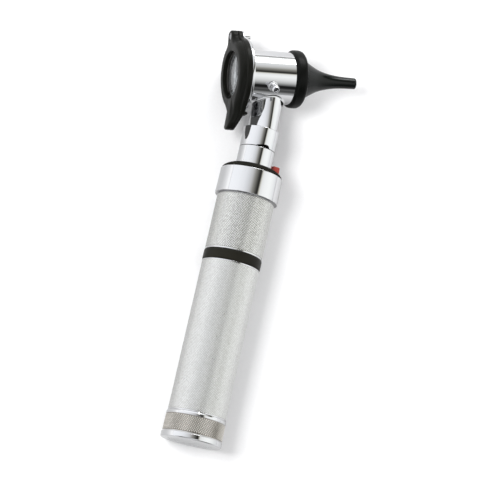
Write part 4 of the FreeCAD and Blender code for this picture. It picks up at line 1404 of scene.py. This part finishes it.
# Pivot screw with slot, nut with washer face.
scr = lathe("pivot_shoulder_screw", corner([
    (0, -22.8), (1.9, -22.8, 0.4), (1.9, -21.75, 0.08), (1.2, -21.75), (1.2, -16.97, 0.08),
    (0.9, -16.97), (0.9, -13.0, 0.2), (0, -13.0)], 6), 96, REAR, shift=(PIVOT_H, 0))
slot_c = prism_h("slot", [(PIVOT_H - 3, -23.2), (PIVOT_H + 3, -23.2), (PIVOT_H + 3, -22.3),
                          (PIVOT_H - 3, -22.3)], -0.26, 0.26, 0)
boolean(scr, slot_c)
auto_smooth(scr, 28)
piece(scr, "head", MAT["steel"], "steel", "pivot_screw")
nut = lathe("pivot_nut_round", corner([
    (0.92, -16.09), (2.4, -16.09, 0.1), (2.4, -15.5, 0.12), (1.85, -15.5, 0.05),
    (1.85, -12.8, 0.55), (0.92, -12.8, 0.1)], 6), 96, HEAD, shift=(PIVOT_H, 0))
piece(nut, "head", MAT["chrome"], "polished_chrome", "pivot_nut")

# Hose nipple.
pj = frame["record"]["mounts"]
pm = [m for m in pj if m["name"] == "hose_nipple"][0]
pax = Vector(pm["axis"]).normalized()
pq = pax.to_track_quat('Z', 'Y').to_matrix().to_4x4()
PORT = Matrix.Translation(Vector(pm["pos_m"]) - pax * (17.7 * MM)) @ pq
port = lathe("hose_nipple", corner([
    (0.7, 11.5), (1.5, 11.5), (1.5, 13.42), (2.55, 13.42, 0.12), (2.55, 14.25, 0.25),
    (1.75, 14.45, 0.15), (1.5, 14.95, 0.3), (1.5, 15.75, 0.3), (1.98, 16.3, 0.25),
    (2.0, 17.3, 0.3), (1.72, 17.5, 0.12), (1.72, 17.7, 0.12), (2.0, 17.9, 0.3),
    (1.98, 19.15, 0.35), (1.45, 19.9, 0.4), (0.85, 19.9, 0.1), (0.7, 19.7)], 6), 128, PORT)
piece(port, "head", MAT["chrome_neck"], "polished_chrome", "insufflation_port")

# Front collar.
collar = lathe("front_grip_ring", corner([
    (10.6, 5.02), (11.58, 5.02), (11.58, HS1 + 0.02), (13.5, HS1 + 0.02, 0.05)]
    + spline([(14.0, 8.12), (14.42, 8.45), (14.72, 9.05), (14.84, 9.9), (14.86, 11.0),
              (14.8, 12.2), (14.55, 13.1), (14.15, 13.75), (13.65, 14.15)], 4)
    + [(13.0, 14.46, 0.5), (12.3, 14.5, 0.3), (11.55, 14.42, 0.3), (11.2, 14.0, 0.2),
       (11.2, 8.6), (10.6, 8.6)]), 256, HEAD)
piece(collar, "head", MAT["collar_black"], "black_plastic", "front_collar")

# Speculum: thin hollow cone with a rolled tip and a base rim.
SPO = [(10.98, 9.2), (10.98, 11.0), (10.95, 12.6), (10.65, 14.2), (9.78, 16.0), (8.56, 18.1),
       (6.46, 21.8), (5.29, 24.5), (4.47, 27.2), (3.83, 30.0), (3.42, 32.7), (3.12, 35.5),
       (2.98, 38.5), (2.84, 43.95)]
SPI = [(2.14, 43.95), (2.26, 38.5), (2.4, 35.5), (2.66, 32.7), (3.05, 30.0), (3.66, 27.2),
       (4.45, 24.5), (6.2, 20.5), (7.68, 18.1), (9.08, 14.5), (9.98, 12.0), (10.48, 9.2)]
spec_rows = corner(spline(SPO, 5)[:-1] + [(2.84, 43.9, 's'), (2.8, 44.25, 's'), (2.66, 44.4, 's'),
                                          (2.5, 44.47, 's'), (2.32, 44.4, 's'), (2.18, 44.2, 's'),
                                          (2.14, 43.9, 's')]
                   + spline(SPI, 5)[1:], 4)
fixed = []
for k, (r_, s_, ti, to) in enumerate(spec_rows):
    if k == 0:
        ti = Vector((1, 0))
        to = Vector((0, 1))
    elif k == len(spec_rows) - 1:
        to = Vector((1, 0))
    fixed.append((r_, s_, ti, to))
spec = lathe("ear_speculum", fixed, 224, HEAD)
piece(spec, "speculum", MAT["speculum"], "speculum_plastic", "speculum")

# ------------------------------------------------------------ world
AZ, EL, ROLL = map(math.radians, (-16.44505623, -11.85534924, -12.74819294))
scene = bpy.context.scene
world = bpy.data.worlds.new("studio")
scene.world = world
world.use_nodes = True
nt = world.node_tree
nt.nodes.clear()
wout = nt.nodes.new("ShaderNodeOutputWorld")
bg = nt.nodes.new("ShaderNodeBackground")
bg2 = nt.nodes.new("ShaderNodeBackground")
mixs = nt.nodes.new("ShaderNodeMixShader")
lp = nt.nodes.new("ShaderNodeLightPath")
tc = nt.nodes.new("ShaderNodeTexCoord")


def dot(v):
    n = nt.nodes.new("ShaderNodeVectorMath")
    n.operation = 'DOT_PRODUCT'
    nt.links.new(tc.outputs["Generated"], n.inputs[0])
    n.inputs[1].default_value = v
    return n.outputs["Value"]


xr = dot((math.cos(AZ), math.sin(AZ), 0))
yb = dot((math.sin(AZ), -math.cos(AZ), 0))
zz = dot((0, 0, 1))
az = math_node(nt, 'MULTIPLY', math_node(nt, 'ARCTAN2', xr, yb), 180 / math.pi)
el = math_node(nt, 'MULTIPLY', math_node(nt, 'ARCSINE', zz), 180 / math.pi)
q = math_node(nt, 'ADD', math_node(nt, 'MULTIPLY', math_node(nt, 'SUBTRACT', 28.5, az), 0.8),
              math_node(nt, 'SUBTRACT', el, 11.0))


def grey(v, tint=(1.0, 1.0, 1.0)):
    c = srgb((v / 255.0,) * 3)
    return (c[0] * tint[0], c[1] * tint[1], c[2] * tint[2], 1)


COOL = (0.985, 1.0, 1.03)
WARM = (1.02, 1.0, 0.93)
qs = [(-60, 222, COOL), (-50, 238, COOL), (-38, 250, COOL), (-30, 250, COOL), (-18, 244, COOL), (-9, 232, COOL), (-5.5, 205, WARM),
      (-2.5, 100, WARM), (-0.5, 42, WARM), (3, 50, WARM), (7, 84, WARM), (15, 136, WARM),
      (24, 194, (1, 1, 1.01)), (33, 216, COOL), (43, 232, COOL), (60, 243, COOL),
      (95, 250, COOL), (150, 250, COOL)]
fac = maprange(nt, q, -60, 150, 0, 1)
main = ramp(nt, fac, [((a + 60) / 210.0, grey(b, c)) for a, b, c in qs])
# lower part of the room, darker in a band below the lens axis
es = [(-90, 0.50), (-66, 0.46), (-58, 0.40), (-54.5, 0.10), (-52, 0.07), (-49, 0.14), (-46, 0.06),
      (-43, 0.012), (-37, 0.02), (-34, 0.18), (-30, 0.36), (-25, 0.55), (-18, 0.7), (-10, 0.85),
      (-2, 1.0)]
ef = maprange(nt, el, -90, 0, 0, 1)
low1 = ramp(nt, ef, [((a + 90) / 90.0, (b, b, b * 0.96, 1)) for a, b in es])
low2 = ramp(nt, ef, [(0.0, (0.42, 0.42, 0.41, 1)), (0.4, (0.6, 0.6, 0.6, 1)), (0.85, (1, 1, 1, 1))])
wa = math_node(nt, 'MULTIPLY', maprange(nt, az, 12, 34, 0, 1), maprange(nt, az, 88, 118, 1, 0))
low = mix(nt, wa, low2, low1)
mul = nt.nodes.new("ShaderNodeMix")
mul.data_type = 'RGBA'
mul.blend_type = 'MULTIPLY'
mul.inputs[0].default_value = 1.0
nt.links.new(main, mul.inputs[6])
nt.links.new(low, mul.inputs[7])
nt.links.new(mul.outputs[2], bg.inputs[0])
bg.inputs[1].default_value = 1.5
bg2.inputs[0].default_value = (1.0, 1.0, 1.0, 1)
bg2.inputs[1].default_value = 1.0
bg3 = nt.nodes.new("ShaderNodeBackground")
bg3.inputs[0].default_value = (0.66, 0.66, 0.665, 1)
mixd = nt.nodes.new("ShaderNodeMixShader")
nt.links.new(lp.outputs["Is Diffuse Ray"], mixd.inputs[0])
nt.links.new(bg.outputs[0], mixd.inputs[1])
nt.links.new(bg3.outputs[0], mixd.inputs[2])
nt.links.new(lp.outputs["Is Camera Ray"], mixs.inputs[0])
nt.links.new(mixd.outputs[0], mixs.inputs[1])
nt.links.new(bg2.outputs[0], mixs.inputs[2])
nt.links.new(mixs.outputs[0], wout.inputs[0])

# ------------------------------------------------------------ floor
# The instrument lies on a pale surface: its plane touches the tail cap and the
# side of the lens frame, and its back is see-through for views from behind.
y_cap = span("tail_cap")[0]
flo_lo, flo_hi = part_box("lens_frame")
y_head, z_head = flo_hi.y / MM, 190.6
slope = (y_head - y_cap) / (z_head - 1.5)
Y0 = y_cap - slope * 1.5 + 0.05
S = 1500.0
fv = [Vector((x, Y0 + slope * z, z)) * MM for x, z in ((-S, -S), (S, -S), (S, S), (-S, S))]
floor = new_object("floor", fv, [[0, 1, 2, 3]], smooth=False)
fm, fnt, fbs, ftc = base_nodes("pale_floor")
fn_ = noise(fnt, ftc, 700.0, 3.0)
fnt.links.new(mix(fnt, maprange(fnt, fn_, 0.35, 0.65, 0, 1), (0.93, 0.93, 0.935, 1), (0.915, 0.915, 0.92, 1)),
              fbs.inputs["Base Color"])
# painted shade: to glossy rays the floor's colour is darkened in a band near the instrument's axis (|x| under
# about 0.14 m), a shaded floor for the chrome to reflect
fsx = fnt.nodes.new("ShaderNodeSeparateXYZ")
fnt.links.new(ftc.outputs["Object"], fsx.inputs[0])
floor_gloss_shade = math_node(fnt, 'ABSOLUTE', fsx.outputs[0])
floor_gloss_shade = ramp(fnt, maprange(fnt, floor_gloss_shade, 0.0, 0.2, 0, 1),
          [(0.0, (0.8, 0.8, 0.8, 1)), (0.1, (0.7, 0.7, 0.7, 1)), (0.2, (0.7, 0.7, 0.7, 1)),
           (0.35, (0.82, 0.82, 0.82, 1)), (0.7, (1, 1, 1, 1))])
flp = fnt.nodes.new("ShaderNodeLightPath")
fcol = fbs.inputs["Base Color"].links[0].from_socket
floor_gloss_shade_mul = fnt.nodes.new("ShaderNodeMix")
floor_gloss_shade_mul.data_type = 'RGBA'
floor_gloss_shade_mul.blend_type = 'MULTIPLY'
fnt.links.new(flp.outputs["Is Glossy Ray"], floor_gloss_shade_mul.inputs[0])
fnt.links.new(fcol, floor_gloss_shade_mul.inputs[6])
fnt.links.new(floor_gloss_shade, floor_gloss_shade_mul.inputs[7])
fnt.links.new(floor_gloss_shade_mul.outputs[2], fbs.inputs["Base Color"])
fbs.inputs["Roughness"].default_value = 0.75
fbs.inputs["Specular IOR Level"].default_value = 0.15
fnt.links.new(bump(fnt, fn_, 0.05, 0.0001), fbs.inputs["Normal"])
tr = fnt.nodes.new("ShaderNodeBsdfTransparent")
gm = fnt.nodes.new("ShaderNodeNewGeometry")
ms = fnt.nodes.new("ShaderNodeMixShader")
fout = [n for n in fnt.nodes if n.type == 'OUTPUT_MATERIAL'][0]
fnt.links.new(gm.outputs["Backfacing"], ms.inputs[0])
fnt.links.new(fbs.outputs[0], ms.inputs[1])
fnt.links.new(tr.outputs[0], ms.inputs[2])
fnt.links.new(ms.outputs[0], fout.inputs[0])
floor.data.materials.append(fm)
# When a part swings out behind the instrument, the floor backs away with it.
probes = []
for body, mat4, pts in (
        ("lens_frame", REAR, [(-29.6, 0, -24.0), (0, 18.6, -25.5), (0, -18.6, -25.5),
                              (24.0, 0, -24.0)]),
        ("head", HEAD, [(0, 19.06, -17.3), (0, -19.06, -17.3), (0, 14.8, 13.0), (0, -14.8, 13.0)]),
        ("speculum", HEAD, [(0, 2.9, 44.4), (0, -2.9, 44.4), (0, 11.0, 9.2), (0, -11.0, 9.2)])):
    for c in pts:
        e = bpy.data.objects.new("floor_probe_%d" % len(probes), None)
        scene.collection.objects.link(e)
        e.matrix_world = Matrix.Translation(mat4 @ (Vector(c) * MM))
        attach(e, body)
        probes.append(e)
drv = floor.driver_add("location", 1).driver
drv.type = 'SCRIPTED'
y_free = (Y0 + slope * z_head) * MM
terms = []
for k, e in enumerate(probes):
    v = drv.variables.new()
    v.name = "v%d" % k
    v.type = 'TRANSFORMS'
    v.targets[0].id = e
    v.targets[0].transform_type = 'LOC_Y'
    v.targets[0].transform_space = 'WORLD_SPACE'
    terms.append(v.name)
far_y = terms[0]
for t in terms[1:]:
    far_y = "max(%s, %s)" % (far_y, t)
drv.expression = "max(0, %s - %.5f)" % (far_y, y_free)

# ------------------------------------------------------------ camera
T = Vector((0, 0, 95.0))
TX, TY, DIST = -8.91904118, -3.69136656, 1000.5041319
back = Vector((math.sin(AZ) * math.cos(EL), -math.cos(AZ) * math.cos(EL), math.sin(EL)))
right = Vector((0, 0, 1)).cross(back).normalized()
up = back.cross(right)
xc = right * math.cos(ROLL) - up * math.sin(ROLL)
yc = right * math.sin(ROLL) + up * math.cos(ROLL)
C = T - xc * TX - yc * TY + back * DIST
cam_d = bpy.data.cameras.new("camera")
cam = bpy.data.objects.new("camera", cam_d)
scene.collection.objects.link(cam)
cam_d.sensor_width = 36.0
cam_d.lens = 144.0
cam_d.shift_x = -0.4 / 500
cam_d.shift_y = 0.45 / 500
cam_d.clip_start, cam_d.clip_end = 0.05, 20.0
cam.matrix_world = Matrix(((xc.x, yc.x, back.x, C.x * MM), (xc.y, yc.y, back.y, C.y * MM),
                           (xc.z, yc.z, back.z, C.z * MM), (0, 0, 0, 1)))
scene.camera = cam

# ------------------------------------------------------------ light
tgt = T * MM


def area(name, dirv, dist, size, energy, aim, glossy):
    la = bpy.data.lights.new(name, 'AREA')
    la.shape = 'RECTANGLE'
    la.size, la.size_y = size
    la.energy = energy
    ob = bpy.data.objects.new(name, la)
    scene.collection.objects.link(ob)
    d = dirv.normalized()
    ob.location = aim + d * dist
    ob.rotation_mode = 'QUATERNION'
    ob.rotation_quaternion = d.to_track_quat('Z', 'Y')
    ob.visible_camera = False
    ob.visible_glossy = glossy
    return ob


def rel(az, el):
    """Unit vector at an azimuth right of the camera's and an elevation."""
    a, e = math.radians(az) + AZ, math.radians(el)
    return Vector((math.sin(a) * math.cos(e), -math.cos(a) * math.cos(e), math.sin(e)))


area("key", xc * -0.75 + yc * 0.45 + back * 2.1, 0.85, (0.28, 0.28), 5.6, tgt, False)
area("top", rel(35, 66), 0.55, (0.30, 0.22), 1.5, Vector((0, 0, 0.19)), True)

scene.view_settings.view_transform = 'Standard'
scene.view_settings.look = 'None'
scene.view_settings.exposure = 0.0
scene.view_settings.gamma = 1.0

bpy.context.view_layer.update()
